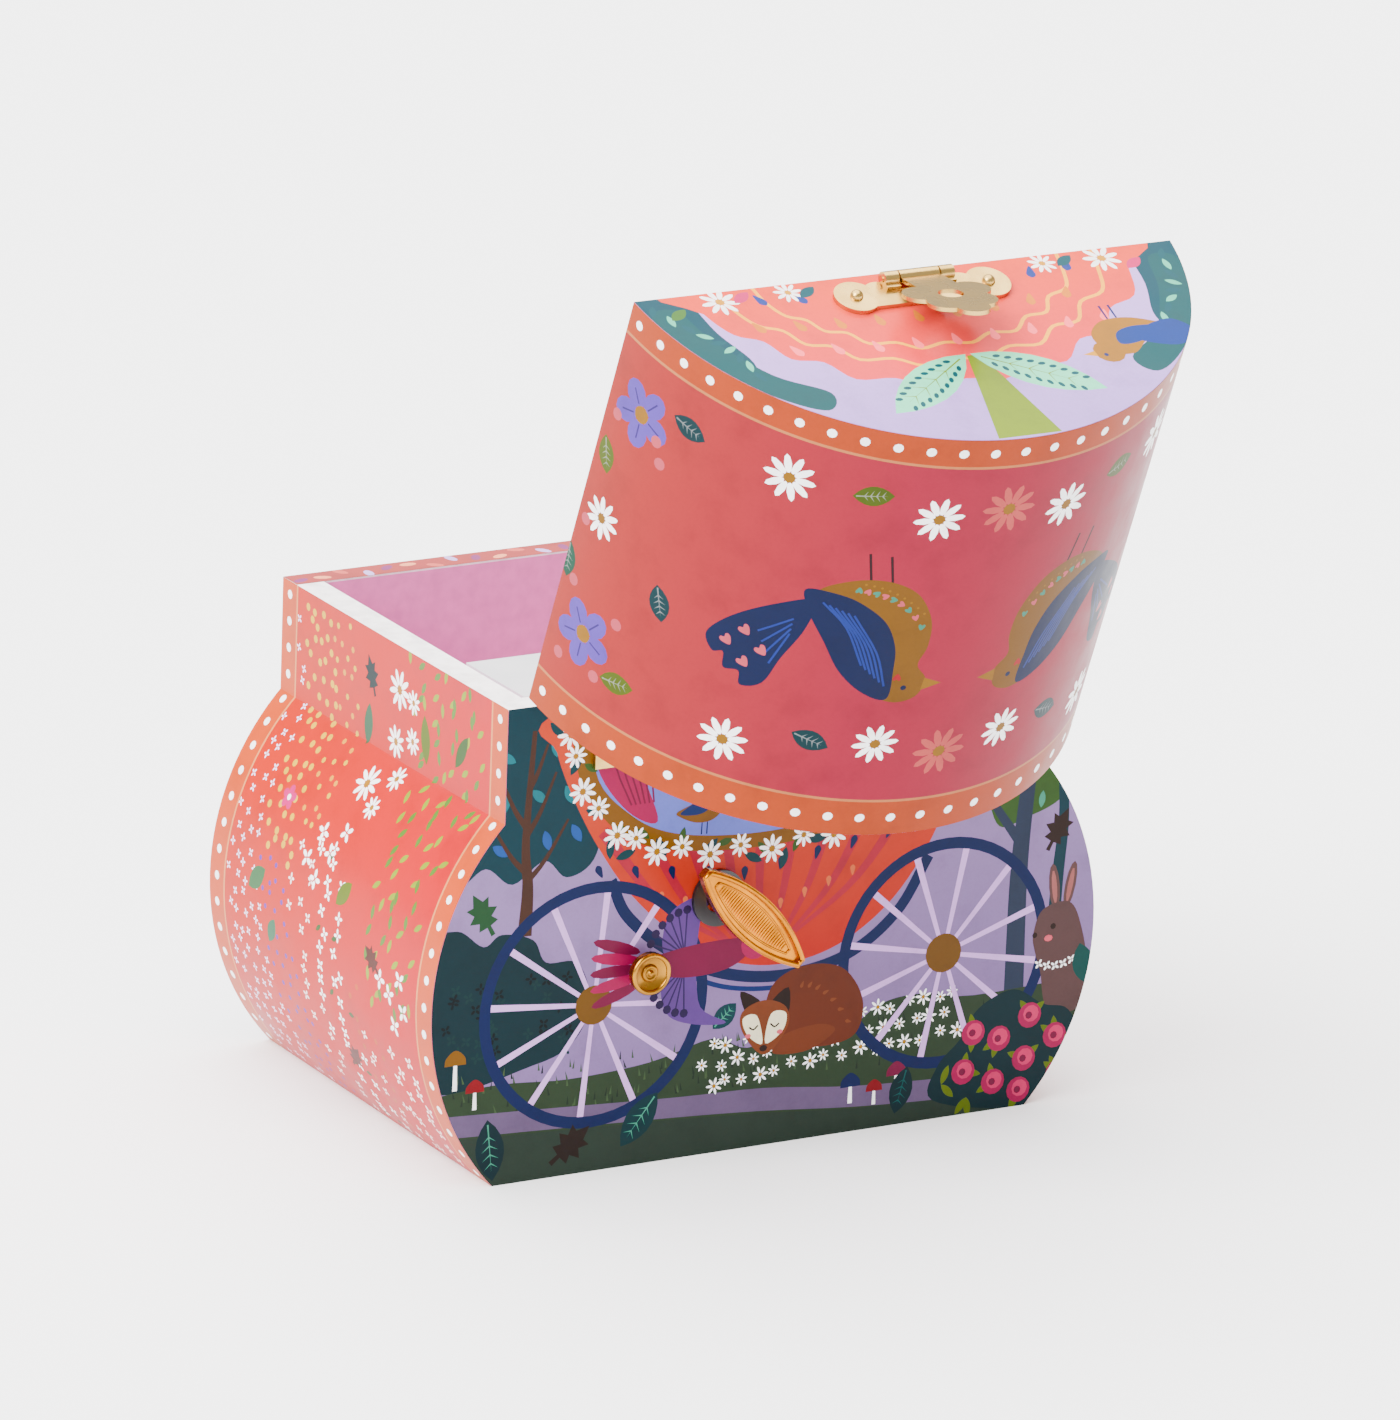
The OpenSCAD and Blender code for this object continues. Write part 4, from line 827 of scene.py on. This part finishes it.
def lid_bird(pr, x, y, side):
    """A bird with folded wing and raised hearted tail; side 1 has its beak toward rising x."""
    put = lambda pts, c: pr.put([(x + side * p, y + q) for p, q in pts], c)
    for dx in (-3.4, 0.8):
        put([(dx, -11), (dx + 0.5, -11), (dx - 1.6, -19.6), (dx - 2.1, -19.4)], ink("3F1A22"))
    # tail, body, head, then the folded wing over them
    put(smooth([(-13, -6.5), (-20.5, -3), (-27.5, 2.6), (-31.5, 8.4), (-29.6, 12), (-27.4, 11.4),
                (-26.6, 14.8), (-23.6, 14.4), (-22.6, 17.4), (-18.6, 15.4), (-16.4, 8.6), (-13.4, 0.6)]),
        NAVY)
    for k in range(4):
        put(ribbon([(-16, -1 + 1.2 * k), (-22 + 1.2 * k, 4 + 2.2 * k)], 0.4), ink("2641AA"))
    for p, q in ((-27.4, 8.4), (-24.4, 4.8), (-23.2, 12), (-20.4, 8.2)):
        pr.heart(x + side * p, y + q, 1.35, PINK, side * 2.3)
    put(smooth([(-13, -8.4), (-7.5, -12.4), (-0.5, -13.6), (6, -11.2), (10.2, -5), (11, 1.4), (10, 6),
                (12.4, 9.4), (11.4, 13.6), (7.2, 15.2), (2.6, 13.4), (0.6, 8), (-1.5, 1), (-7, -4.6)]),
        ink("9A6406"))
    put([(12, 12.2), (16, 10.6), (12.2, 9.2)], YELLOW)
    put(smooth([(5.6, 14.4), (0.6, 13.4), (-5, 9), (-9.4, 2.6), (-13.6, -3.4), (-15.4, -8.4), (-10, -9),
                (-4.6, -7.8), (1.2, -4), (4.4, 1.6), (5.4, 7.4)]), NAVY)
    for k in range(6):
        put(ribbon(path([(4.4 - 1.1 * k, 11.4 - 0.9 * k), (1.2 - 1.4 * k, 3.6 - 1.0 * k),
                         (-5 - 1.3 * k, -4.6 - 0.35 * k)], 4), 0.42), ink("2641AA"))
    for i in range(9):
        pr.heart(x + side * (-5.4 + 1.75 * i), y - 10.6 + 0.085 * i * i * (0.4 + 0.12 * i), 0.8,
                 PINK if i % 2 else MINT, 0.4 * i)
        pr.dots([(x + side * (-4.4 + 1.6 * i), y - 12.2 + 0.09 * i * i)], 0.28, YELLOW, 6)
    put(oval(8.4, 11.6, 0.6, n=8), NAVY)
    pr.heart(x + side * 6.6, y + 9.2, 0.95, CORAL)


def lid_skin_print():
    """Coral, two birds beak to beak in a wreath; u is the arc from the crown, v front to back."""
    # The weight 0.33 paints shade into the lid's skin: its coloured inks print much darker.
    pr = Print([(-LID_S, FRONT), (LID_S, FRONT), (LID_S, BACK), (-LID_S, BACK)],
               lambda u, v: mix(ink("DC3A28"), ink("D02048"), (u + 90) / 70), 0.33)
    dotted_band(pr, -LID_S, LID_S, 39.6, 48, "u", 6.2)
    dotted_band(pr, -LID_S, LID_S, -48, -41.4, "u", 6.2)
    lid_bird(pr, -20, 0, 1)
    lid_bird(pr, 20, 0, -1)
    for s in (-1, 1):
        for u, v, r, c in ((44, -32, 5.2, WHITE), (14, -29, 5.0, WHITE), (43, 31, 5.0, WHITE),
                           (14, 25.5, 4.6, WHITE), (80, -1, 4.6, WHITE)):
            pr.daisy(s * u, v, r, c, YELLOW, 10, 0.3 * u)
        for u, v in ((77, -28), (77, 25)):
            pr.bloom(s * u, v, 7.2, ink("7B54DE"), ink("C28305"))
            for i in range(5):
                a = 0.3 + TAU * i / 5
                pr.line([(s * u + 2.2 * math.cos(a), v + 2.2 * math.sin(a)),
                         (s * u + 5.4 * math.cos(a), v + 5.4 * math.sin(a))], 0.35, ink("4B3292"))
        for u, v, angle, c in ((66, -33, 0.2, TEAL), (81, -18, 1.2, LIME), (83, 9, 1.4, ink("055D43")),
                               (67, 31, -0.2, LIME), (27, 25, 0.3, TEAL), (28, -32, -0.2, ink("5C7105")),
                               (60, 4, 1.2, TEAL)):
            pr.leaf(s * u - 3.6, v, 8, 4.6, angle, c, mix(c, (1, 1, 1), 0.25))
        for u, v in ((83, -24), (72, -25), (70, -21), (70, 18), (72, 32), (82, 33), (84, 2), (83, 16)):
            pr.dots([(s * u, v)], 1.3, PINK, 12)
    pr.daisy(0, -31, 5.6, ink("F96460"), YELLOW, 10)
    pr.daisy(0, 28, 5.6, ink("F96460"), YELLOW, 10)
    return pr


def lid_outline():
    half = LID_S / LID_R
    return [(LID_R * math.sin(half - 2 * half * i / 72),
             LID_CZ - LID_Z + LID_R * math.cos(half - 2 * half * i / 72)) for i in range(73)]


def lid_end_print():
    """Coach roof with scallops against the lilac sky; v is the height above the lid's rim."""
    pr = Print(lid_outline(), lambda u, v: mix(ink("B28CD2"), ink("9A78BE"), v / 50))
    for s in (-1, 1):
        pr.put(smooth([(s * 62, -3), (s * 60, 18), (s * 54, 28), (s * 47, 30), (s * 44, 22), (s * 47, 12),
                       (s * 50, -3)]), DARK_TEAL)
        pr.put(smooth([(s * 58, 6), (s * 53, 22), (s * 44, 33), (s * 36, 38), (s * 33, 33), (s * 42, 26),
                       (s * 49, 14), (s * 52, 4)]), ink("074245"))
        for i in range(9):
            pr.leaf(s * (56 - 1.5 * i), 2 + 3.2 * i, 3.6, 1.4, 1.1 + 0.5 * i, MINT if i % 2 else TEAL)
    roof = [(48, -3), (47, 6), (44, 13), (39, 16), (36, 22), (30, 24), (26, 30), (18, 31), (12, 35),
            (4, 33.5), (-4, 35), (-11, 31.5), (-19, 32), (-25, 26), (-32, 25), (-36, 18), (-43, 15), (-46, 7),
            (-48, -3)]
    pr.put(smooth(roof, 4), lambda u, v: mix(ink("D63A22"), ink("D42E3A"), v / 34))
    for k in (0.86, 0.70):
        pr.line(path([(p * k, 30 * k * (q / 33) + 1) for p, q in roof], 4), 0.8, ink("EE9A18"))
    for i in range(-4, 5):
        for j, c in ((0, ink("1B2D73")), (1, ink("C66A05")), (2, ink("F95863"))):
            pr.drop(i * 8.4 + (4.2 if j == 1 else 0), 6 + 8 * j - 0.12 * i * i, 1.5, c, math.pi + 0.1 * i)
    pr.put([(-2.4, 27), (0.4, 27), (6.4, 52), (-7.4, 52)], LIME)
    for s, angle in ((1, math.radians(33)), (-1, math.radians(147))):
        x0, z0 = s * 0.5, 26.5
        pr.leaf(x0, z0, 27, 9.5, angle, ink("5FC699"), LIME)
        for i in range(9):
            for q in (-1, 1):
                d, w = 5 + 2.2 * i, q * (1.4 + 1.3 * math.sin(math.pi * i / 9))
                pr.put(oval(x0 + d * math.cos(angle) - w * math.sin(angle),
                            z0 + d * math.sin(angle) + w * math.cos(angle), 0.85, 0.5, angle + q * 0.6, 8),
                       TEAL)
    standing_bird(pr, -34, 27, -1, 1.25)
    pr.put(smooth([(-36, 27), (-46, 23), (-50, 28), (-44, 31)]), BLUE)
    for u, v, r in ((42, 3, 4), (-42, 3, 4), (27, 2.5, 3), (-29, 2.5, 3)):
        pr.daisy(u, v, r, spin=u)
    for u, v, c in ((35, 1, ROSE), (50, 4, LEAF), (-36, 1, TEAL), (-50, 4, ROSE), (21, 1.6, TEAL)):
        pr.leaf(u, v, 5, 2.4, 0.6, c)
    return pr


def spread(a, b, step):
    n = int((b - a) / step)
    return [a + (b - a) * (i + 0.5) / n for i in range(n)]


back = coach_scene(True)
back.lay("back_print", lambda u, v: (u, BACK + PAPER, v), "box", "printed_back", PRINT)
front = coach_scene(False)
front.lay("front_print", lambda u, v: (-u, FRONT - PAPER, v), "box", "printed_front", PRINT)
fold_v = spread(0, WALL_ARC, 2.6) + [WALL_ARC]
for name, side, seed in (("right", 1, 5), ("left", -1, 9)):
    wall_print(seed).lay(name + "_wall_print",
                         lambda u, v, side=side: (side * wall_point(v, PAPER)[0], u, wall_point(v, PAPER)[1]),
                         "box", "printed_wall", PRINT, grid_v=fold_v)


def on_skin(u, v, off=PAPER):
    a = u / LID_R
    return opened(-(LID_R + off) * math.sin(a), v, LID_CZ + (LID_R + off) * math.cos(a))


LID_MIDDLE = opened(0, 0, LID_Z + 20)
skin = lid_skin_print()
skin.inside = LID_MIDDLE
skin.lay("lid_skin_print", on_skin, "lid", "printed_lid", PRINT, grid_u=spread(-LID_S, LID_S, 2.4))
for name, y in (("lid_front_print", FRONT - PAPER), ("lid_back_print", BACK + PAPER)):
    end = lid_end_print()
    end.inside = LID_MIDDLE
    end.lay(name, lambda u, v, y=y: opened(u if y < 0 else -u, y, LID_Z + v), "lid", "printed_lid_end", PRINT)

# Turned-in print on the front rim, and pink paper inside the two bent walls.
rim = Print([(-NECK, FRONT), (NECK, FRONT), (NECK, -42), (-NECK, -42)], ink("9A3F3C"))
for i in range(24):
    rim.put(oval(-57 + 5 * i, -45 + 1.6 * math.sin(2.3 * i), 1.9, 1.0, 0.7 * i, 10),
            (ink("B79AD6"), ink("C65A50"), ink("E58C6A"), ink("7E3A6A"))[i % 4])
rim.inside = Vector((0, 0, 90))
rim.lay("front_rim_print", lambda u, v: (u, v, RIM + PAPER), "box", "printed_front", PRINT)
for name, side in (("right_wall_lining", 1), ("left_wall_lining", -1)):
    inner = Print([(-42, 4), (17.5, 4), (17.5, WALL_LEN), (-42, WALL_LEN)], ink("E27FBB"))
    inner.inward = True
    inner.lay(name, lambda u, v, side=side: (side * wall_point(v, -DEEP - PAPER)[0], u,
                                             wall_point(v, -DEEP - PAPER)[1]), "box", "lining", LINING,
              grid_v=fold_v)

# ---- pieces with a shape of their own --------------------------------------------------

def piece(name, points, faces, body, finish):
    """A smooth mesh from points in mm, faces outward, riding a body."""
    mesh = bpy.data.meshes.new(name)
    mesh.from_pydata([Vector(p) * MM for p in points], [], faces)
    work = bmesh.new()
    work.from_mesh(mesh)
    bmesh.ops.remove_doubles(work, verts=work.verts, dist=1e-6)
    bmesh.ops.recalc_face_normals(work, faces=work.faces)
    work.to_mesh(mesh)
    work.free()
    mesh.materials.append(finish)
    mesh.polygons.foreach_set("use_smooth", [True] * len(mesh.polygons))
    obj = new_object(name, mesh)
    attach(obj, body)
    return obj


def turned(name, profile, at, body, finish, along_y=False, flat=1.0, n=48):
    """A (radius, height) profile turned about Z, or about Y; flat squeezes it front to back."""
    points, m = [], len(profile)
    for i in range(n):
        c, s = math.cos(TAU * i / n), math.sin(TAU * i / n)
        points += [(at[0] + r * c, at[1] + h, at[2] + r * s)
                   if along_y else (at[0] + r * c, at[1] + flat * r * s, at[2] + h) for r, h in profile]
    faces = [(i * m + k, (i + 1) % n * m + k, (i + 1) % n * m + k + 1, i * m + k + 1) for i in range(n)
             for k in range(m - 1)]
    return piece(name, points, faces, body, finish)


def tube(name, points, r, across, closed, body, finish, sides=8):
    """A round wire along points that bends in the plane square to across."""
    pts, across, n = [Vector(p) for p in points], Vector(across), len(points)
    rings, faces = [], []
    for i, p in enumerate(pts):
        t = pts[(i + 1) % n] - pts[i - 1] if closed else pts[min(i + 1, n - 1)] - pts[max(i - 1, 0)]
        side = t.cross(across).normalized()
        up = side.cross(t).normalized()
        rings += [p + r * (math.cos(TAU * k / sides) * side + math.sin(TAU * k / sides) * up)
                  for k in range(sides)]
    for i in range(n if closed else n - 1):
        a, b = i * sides, (i + 1) % n * sides
        faces += [(a + k, a + (k + 1) % sides, b + (k + 1) % sides, b + k) for k in range(sides)]
    if not closed:
        faces += [tuple(range(sides)), tuple(range((n - 1) * sides, n * sides))]
    return piece(name, rings, faces, body, finish)


def middle(node):
    lo, hi = (Vector(v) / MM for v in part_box(node))
    return (lo + hi) / 2, lo, hi


# Key grip: a rounded rim bead, an inner bead, and fine ribs across the sunk middle.
KEY_TURN, KEY_L, KEY_W = math.radians(44), 31.0, 9.5
LENS_R = ((KEY_L * 0.56) ** 2 + (KEY_W / 2) ** 2) / KEY_W
key_mid, _, key_hi = middle("key_grip")


def on_key(p, q, out):
    c, s = math.cos(KEY_TURN), math.sin(KEY_TURN)
    return (key_mid.x + p * c - q * s, key_hi.y + out, key_mid.z + p * s + q * c)


def lens_half(p, inset):
    return math.sqrt((LENS_R - inset) ** 2 - p * p) - LENS_R + KEY_W / 2


def lens_loop(inset, end, out):
    """The grip's outline, drawn in by inset, with blunt tips at plus and minus end."""
    ps = [end * math.sin(math.pi / 2 * k / 24) for k in range(-24, 25)]
    top = [(p, lens_half(p, inset)) for p in ps]
    return [on_key(p, q, out) for p, q in top + [(p, -q) for p, q in top[::-1]]]


tube("key_rim_bead", lens_loop(0.6, KEY_L / 2 - 0.6, -0.05), 0.52, (0, 1, 0), True, "key",
     KEY_GOLD)
tube("key_inner_bead", lens_loop(2.1, 11.4, -0.66), 0.24, (0, 1, 0), True, "key", KEY_GOLD)

ribs = bpy.data.meshes.new("key_rib_points")
rib_at = [p * 0.62 for p in range(-16, 17)]
ribs.from_pydata([Vector(on_key(p, 0, -0.68)) * MM for p in rib_at], [], [])
reach = ribs.attributes.new("reach", "FLOAT", "POINT")
for i, p in enumerate(rib_at):
    reach.data[i].value = (lens_half(p, 2.1) - 0.25) * MM
rib_group = bpy.data.node_groups.new("ribs_across_a_plate", "GeometryNodeTree")
for way, kind, label, value in (("INPUT", "Geometry", "Points", None),
                                ("INPUT", "Float", "Thickness", 0.19 * MM),
                                ("INPUT", "Float", "Turn", -KEY_TURN), ("OUTPUT", "Geometry", "Ribs", None)):
    socket = rib_group.interface.new_socket(label, in_out=way, socket_type="NodeSocket" + kind)
    if value is not None:
        socket.default_value = value
group = types.SimpleNamespace(node_tree=rib_group)
given = add(group, "NodeGroupInput").outputs
half = add(group, "GeometryNodeInputNamedAttribute", {"data_type": "FLOAT"}, Name="reach").outputs[0]
size = add(group, "ShaderNodeCombineXYZ", X=given["Thickness"], Y=given["Thickness"], Z=half).outputs[0]
tilt = add(group, "ShaderNodeCombineXYZ", Y=given["Turn"]).outputs[0]
rib = add(group, "GeometryNodeMeshUVSphere", Segments=10, Rings=8, Radius=1.0).outputs[0]
placed = add(group, "GeometryNodeInstanceOnPoints", Points=given["Points"], Instance=rib, Rotation=tilt,
             Scale=size).outputs[0]
real = add(group, "GeometryNodeRealizeInstances", Geometry=placed).outputs[0]
shown = add(group, "GeometryNodeSetMaterial", Geometry=real, Material=KEY_GOLD).outputs[0]
add(group, "NodeGroupOutput", Ribs=shown)
rib_piece = new_object("key_ribs", ribs)
rib_piece.modifiers.new("ribs", "NODES").node_group = rib_group
keep_made(rib_piece)
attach(rib_piece, "key")

# Stop knob: a rolled rim round the dish, and the riveted end of the rod in its middle.
knob_mid, _, knob_hi = middle("stop_knob")
knob_at = (knob_mid.x, knob_hi.y, knob_mid.z)
turned("knob_rolled_rim",
       [(3.3, -0.2), (3.4, 0.2), (3.75, 0.42), (4.15, 0.3), (4.36, -0.1), (4.3, -0.6), (3.9, -0.7),
        (3.3, -0.2)], knob_at, "stop", KNOB_BRASS, along_y=True)
turned("knob_rivet", [(0, -1.1), (1.75, -1.0), (1.8, -0.6), (1.5, -0.35), (1.15, -0.3), (1.05, -0.55),
                      (0.7, -0.6), (0.6, -0.1), (0.35, 0.12), (0, 0.15)], knob_at, "stop",
       KNOB_BRASS, along_y=True)

# Jewel floor: a thin foam pad covered in velour, crowned, with rolled edges and slack dimples.
_, pad_lo, pad_hi = middle("floor_pad")
NX, NY = 72, 44


def pad_point(i, j, top):
    u, v = 2 * i / NX - 1, 2 * j / NY - 1
    edge = lambda w, at: math.sqrt(max(0.0, 1 - max(0.0, (abs(w) - at) / (1 - at)) ** 2))
    crown = (pad_hi.z - pad_lo.z) * (0.3 + 0.62 * edge(u, 0.93) * edge(v, 0.88))
    slack = 0.1 * math.sin(5.3 * u + 2 * v) * math.sin(4.1 * v)
    z = pad_lo.z + (crown + slack if top else 0.0)
    half = wall_point(wall_s(max(z, pad_lo.z)), -DEEP - 0.55)[0]
    return (u * half, (pad_lo.y + pad_hi.y) / 2 + v * (pad_hi.y - pad_lo.y) / 2, z)


grid = [pad_point(i, j, top) for top in (True, False) for j in range(NY + 1) for i in range(NX + 1)]
at = lambda i, j, top: (0 if top else (NX + 1) * (NY + 1)) + j * (NX + 1) + i
pad_faces = [(at(i, j, t), at(i + 1, j, t), at(i + 1, j + 1, t), at(i, j + 1, t)) for t in (True, False)
             for i in range(NX) for j in range(NY)]
pad_faces += [(at(i, j, True), at(i + 1, j, True), at(i + 1, j, False), at(i, j, False)) for i in range(NX)
              for j in (0, NY)]
pad_faces += [(at(i, j, True), at(i, j + 1, True), at(i, j + 1, False), at(i, j, False)) for i in (0, NX)
              for j in range(NY)]
pad = piece("velour_floor_pad", grid, pad_faces, "box", VELOUR)
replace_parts(pad, "floor_pad")

# Dancer on her spring foot. The wire is wound close; she stands on one toe.
_, coil_lo, coil_hi = middle("figure_spring")
spin_x, spin_y = (coil_lo.x + coil_hi.x) / 2, (coil_lo.y + coil_hi.y) / 2
wire = 0.34
turns = (coil_hi.z - coil_lo.z - 2 * wire) / 0.74
coil = [(spin_x + 2.2 * math.cos(TAU * k / 24), spin_y + 2.2 * math.sin(TAU * k / 24),
         coil_lo.z + wire + 0.74 * k / 24) for k in range(int(turns * 24) + 1)]
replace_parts(tube("foot_spring_coil", coil, wire, (0, 0, 1), False, "figure", STEEL),
            "figure_spring")

_, body_lo, body_hi = middle("dancer")
SIZE = (body_hi.z - body_lo.z) / 33.9


def at_dancer(x, y, z):
    return (spin_x + x * SIZE, spin_y + y * SIZE, body_lo.z + z * SIZE)


# joints of the figure: place, thickness each way, and the joint it hangs from
LIMBS = [(0, 0, 0.3, 0.45, 0), (0, 0, 2.2, 0.6, 0), (0.1, 0, 5.4, 0.95, 1), (0.2, -0.2, 8.8, 0.85, 2),
         (0.3, 0, 13, 1.35, 3), (0, 0, 16.6, 1.7, 4), (0, 0, 18.4, 1.35, 5), (0, 0, 21.6, 1.75, 6),
         (0, 0.1, 23.9, 1.0, 7), (0, 0, 25.4, 0.62, 8), (0, -0.1, 27, 0.7, 9), (-1.6, -0.8, 14.4, 1.25, 5),
         (-4.6, -1.6, 10.6, 0.8, 11), (-2.2, -1.2, 8.6, 0.6, 12), (-0.5, -1.0, 7.4, 0.4, 13),
         (1.9, 0, 23.6, 0.72, 8), (4.2, -0.6, 25.6, 0.5, 15), (5.6, -0.9, 28.2, 0.45, 16),
         (4.4, -1.2, 31.4, 0.4, 17), (2.6, -1.3, 33.2, 0.34, 18), (-1.9, 0, 23.6, 0.72, 8),
         (-4.2, -0.6, 25.6, 0.5, 20), (-5.6, -0.9, 28.2, 0.45, 21), (-4.4, -1.2, 31.4, 0.4, 22),
         (-2.6, -1.3, 33.2, 0.34, 23)]
bones = bpy.data.meshes.new("dancer_bones")
bones.from_pydata([Vector(at_dancer(*b[:3])) * MM for b in LIMBS],
                  [(i, b[4]) for i, b in enumerate(LIMBS) if i], [])
flesh = new_object("dancer_figure", bones)
flesh.modifiers.new("skin", "SKIN").use_smooth_shade = True
for i, b in enumerate(LIMBS):
    bones.skin_vertices[0].data[i].radius = (b[3] * SIZE * MM, b[3] * SIZE * MM * 0.9)
rounding = flesh.modifiers.new("round", "SUBSURF")
rounding.levels = 2
keep_made(flesh)
flesh.data.materials.append(SKIN_TONE)
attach(flesh, "figure")
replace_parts(flesh, "dancer")


def egg(name, at, wide, tall, finish, flat=1.0):
    arc = [(wide * SIZE * math.sin(math.pi * k / 14) * (1 + 0.1 * math.cos(math.pi * k / 14)),
            -tall * SIZE * math.cos(math.pi * k / 14)) for k in range(15)]
    turned(name, arc, at_dancer(*at), "figure", finish, flat=flat, n=28)


egg("dancer_head", (0, -0.2, 28.5), 1.85, 2.25, SKIN_TONE)
egg("dancer_hair", (0, 0.35, 29.0), 1.95, 2.05, HAIR)
egg("dancer_bun", (0, 0.9, 31.5), 1.15, 0.95, HAIR)
turned("dancer_bodice", [(r * SIZE, h * SIZE)
                         for r, h in ((1.5, 0), (1.55, 1.2), (1.5, 2.2), (1.85, 4.2), (2.0, 5.4), (1.8, 6.4),
                                      (1.2, 6.5), (1.2, 0), (1.5, 0))], at_dancer(0, 0, 17), "figure",
       BODICE, flat=0.92)

# Tutu: three rounds of net, gathered at the waist and standing out in soft flutes.
tutu_mid, _, tutu_hi = middle("tutu")
for layer in range(3):
    outer, rows, n = tutu_hi.x - tutu_mid.x - 0.5 * layer, 9, 144
    points = []
    for j in range(rows + 1):
        t = j / rows
        r = 2.5 + (outer - 2.5) * t
        for i in range(n):
            a = TAU * i / n
            flute = (0.15 + 0.85 * t) * math.sin(13 * a + 2.1 * layer) + 0.3 * t * math.sin(7 * a + layer)
            points.append((tutu_mid.x + r * math.cos(a), tutu_mid.y + r * math.sin(a),
                           tutu_hi.z - 0.4 - 0.75 * layer - 1.5 * t * t + 0.75 * flute))
    faces = [(j * n + i, j * n + (i + 1) % n, (j + 1) * n + (i + 1) % n, (j + 1) * n + i) for j in range(rows)
             for i in range(n)]
    net = piece(f"tutu_net_{layer + 1}", points, faces, "figure", TULLE)
    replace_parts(net, "tutu")


# ---- studio -------------------------------------------------------------------------

floor_mesh = bpy.data.meshes.new("studio_floor")
FLOOR_SIDE, FLOOR_FAR, FLOOR_NEAR = 6, 9, 4  # metres out from the box
floor_mesh.from_pydata([(-FLOOR_SIDE, -FLOOR_FAR, 0), (FLOOR_SIDE, -FLOOR_FAR, 0),
                        (FLOOR_SIDE, FLOOR_NEAR, 0), (-FLOOR_SIDE, FLOOR_NEAR, 0)], [], [(0, 1, 2, 3)])
floor = new_object("studio_floor", floor_mesh)
paper, shader = material("white_studio_paper")
grained(paper, shader, 2.0, 0.02, 0.1)
join(paper, shader, "Base Color", (0.93, 0.93, 0.93, 1))
join(paper, shader, "Roughness", 0.85)
floor_mesh.materials.append(paper)

world = bpy.data.worlds.new("studio")
bpy.context.scene.world = world
world.use_nodes = True
world.node_tree.nodes["Background"].inputs[0].default_value = (1, 1, 1, 1)
world.node_tree.nodes["Background"].inputs[1].default_value = 0.9

MIDDLE = Vector((0, 0.01, 0.085))


def soft_light(name, azimuth, elevation, spread_deg, power):
    """A large far light; azimuth is measured as for the camera, from -Y toward +X."""
    a, e = math.radians(azimuth), math.radians(elevation)
    toward = Vector((math.sin(a) * math.cos(e), -math.cos(a) * math.cos(e), math.sin(e)))
    data = bpy.data.lights.new(name, "SUN")
    data.angle, data.energy = math.radians(spread_deg), power
    light = new_object(name, data)
    light.location = MIDDLE + toward
    light.rotation_euler = toward.to_track_quat("Z", "Y").to_euler()


soft_light("overhead_softbox", 20, 76, 90, 10)
soft_light("side_softbox", 106, 40, 40, 7.5)

# Camera: where it stands, how far it leans, and a long lens.
azimuth, elevation, lean = math.radians(150.45), math.radians(17.45), math.radians(2.03)
back_v = Vector((math.cos(elevation) * math.sin(azimuth), -math.cos(elevation) * math.cos(azimuth),
                 math.sin(elevation)))
right_v = Vector((0, 0, 1)).cross(back_v).normalized()
up_v = back_v.cross(right_v)
STAND_OFF, ASIDE, ABOVE = 2423.5, 8.546, 73.398  # mm from the frame's origin
place = back_v * STAND_OFF + right_v * ASIDE + up_v * ABOVE
r2 = right_v * math.cos(lean) + up_v * math.sin(lean)
u2 = up_v * math.cos(lean) - right_v * math.sin(lean)
lens = bpy.data.cameras.new("camera")
lens.lens, lens.sensor_width, lens.clip_end = 304.2, 36, 50
camera = new_object("camera", lens)
camera.matrix_world = Matrix(((r2.x, u2.x, back_v.x, place.x * MM), (r2.y, u2.y, back_v.y, place.y * MM),
                              (r2.z, u2.z, back_v.z, place.z * MM), (0, 0, 0, 1)))
bpy.context.scene.camera = camera
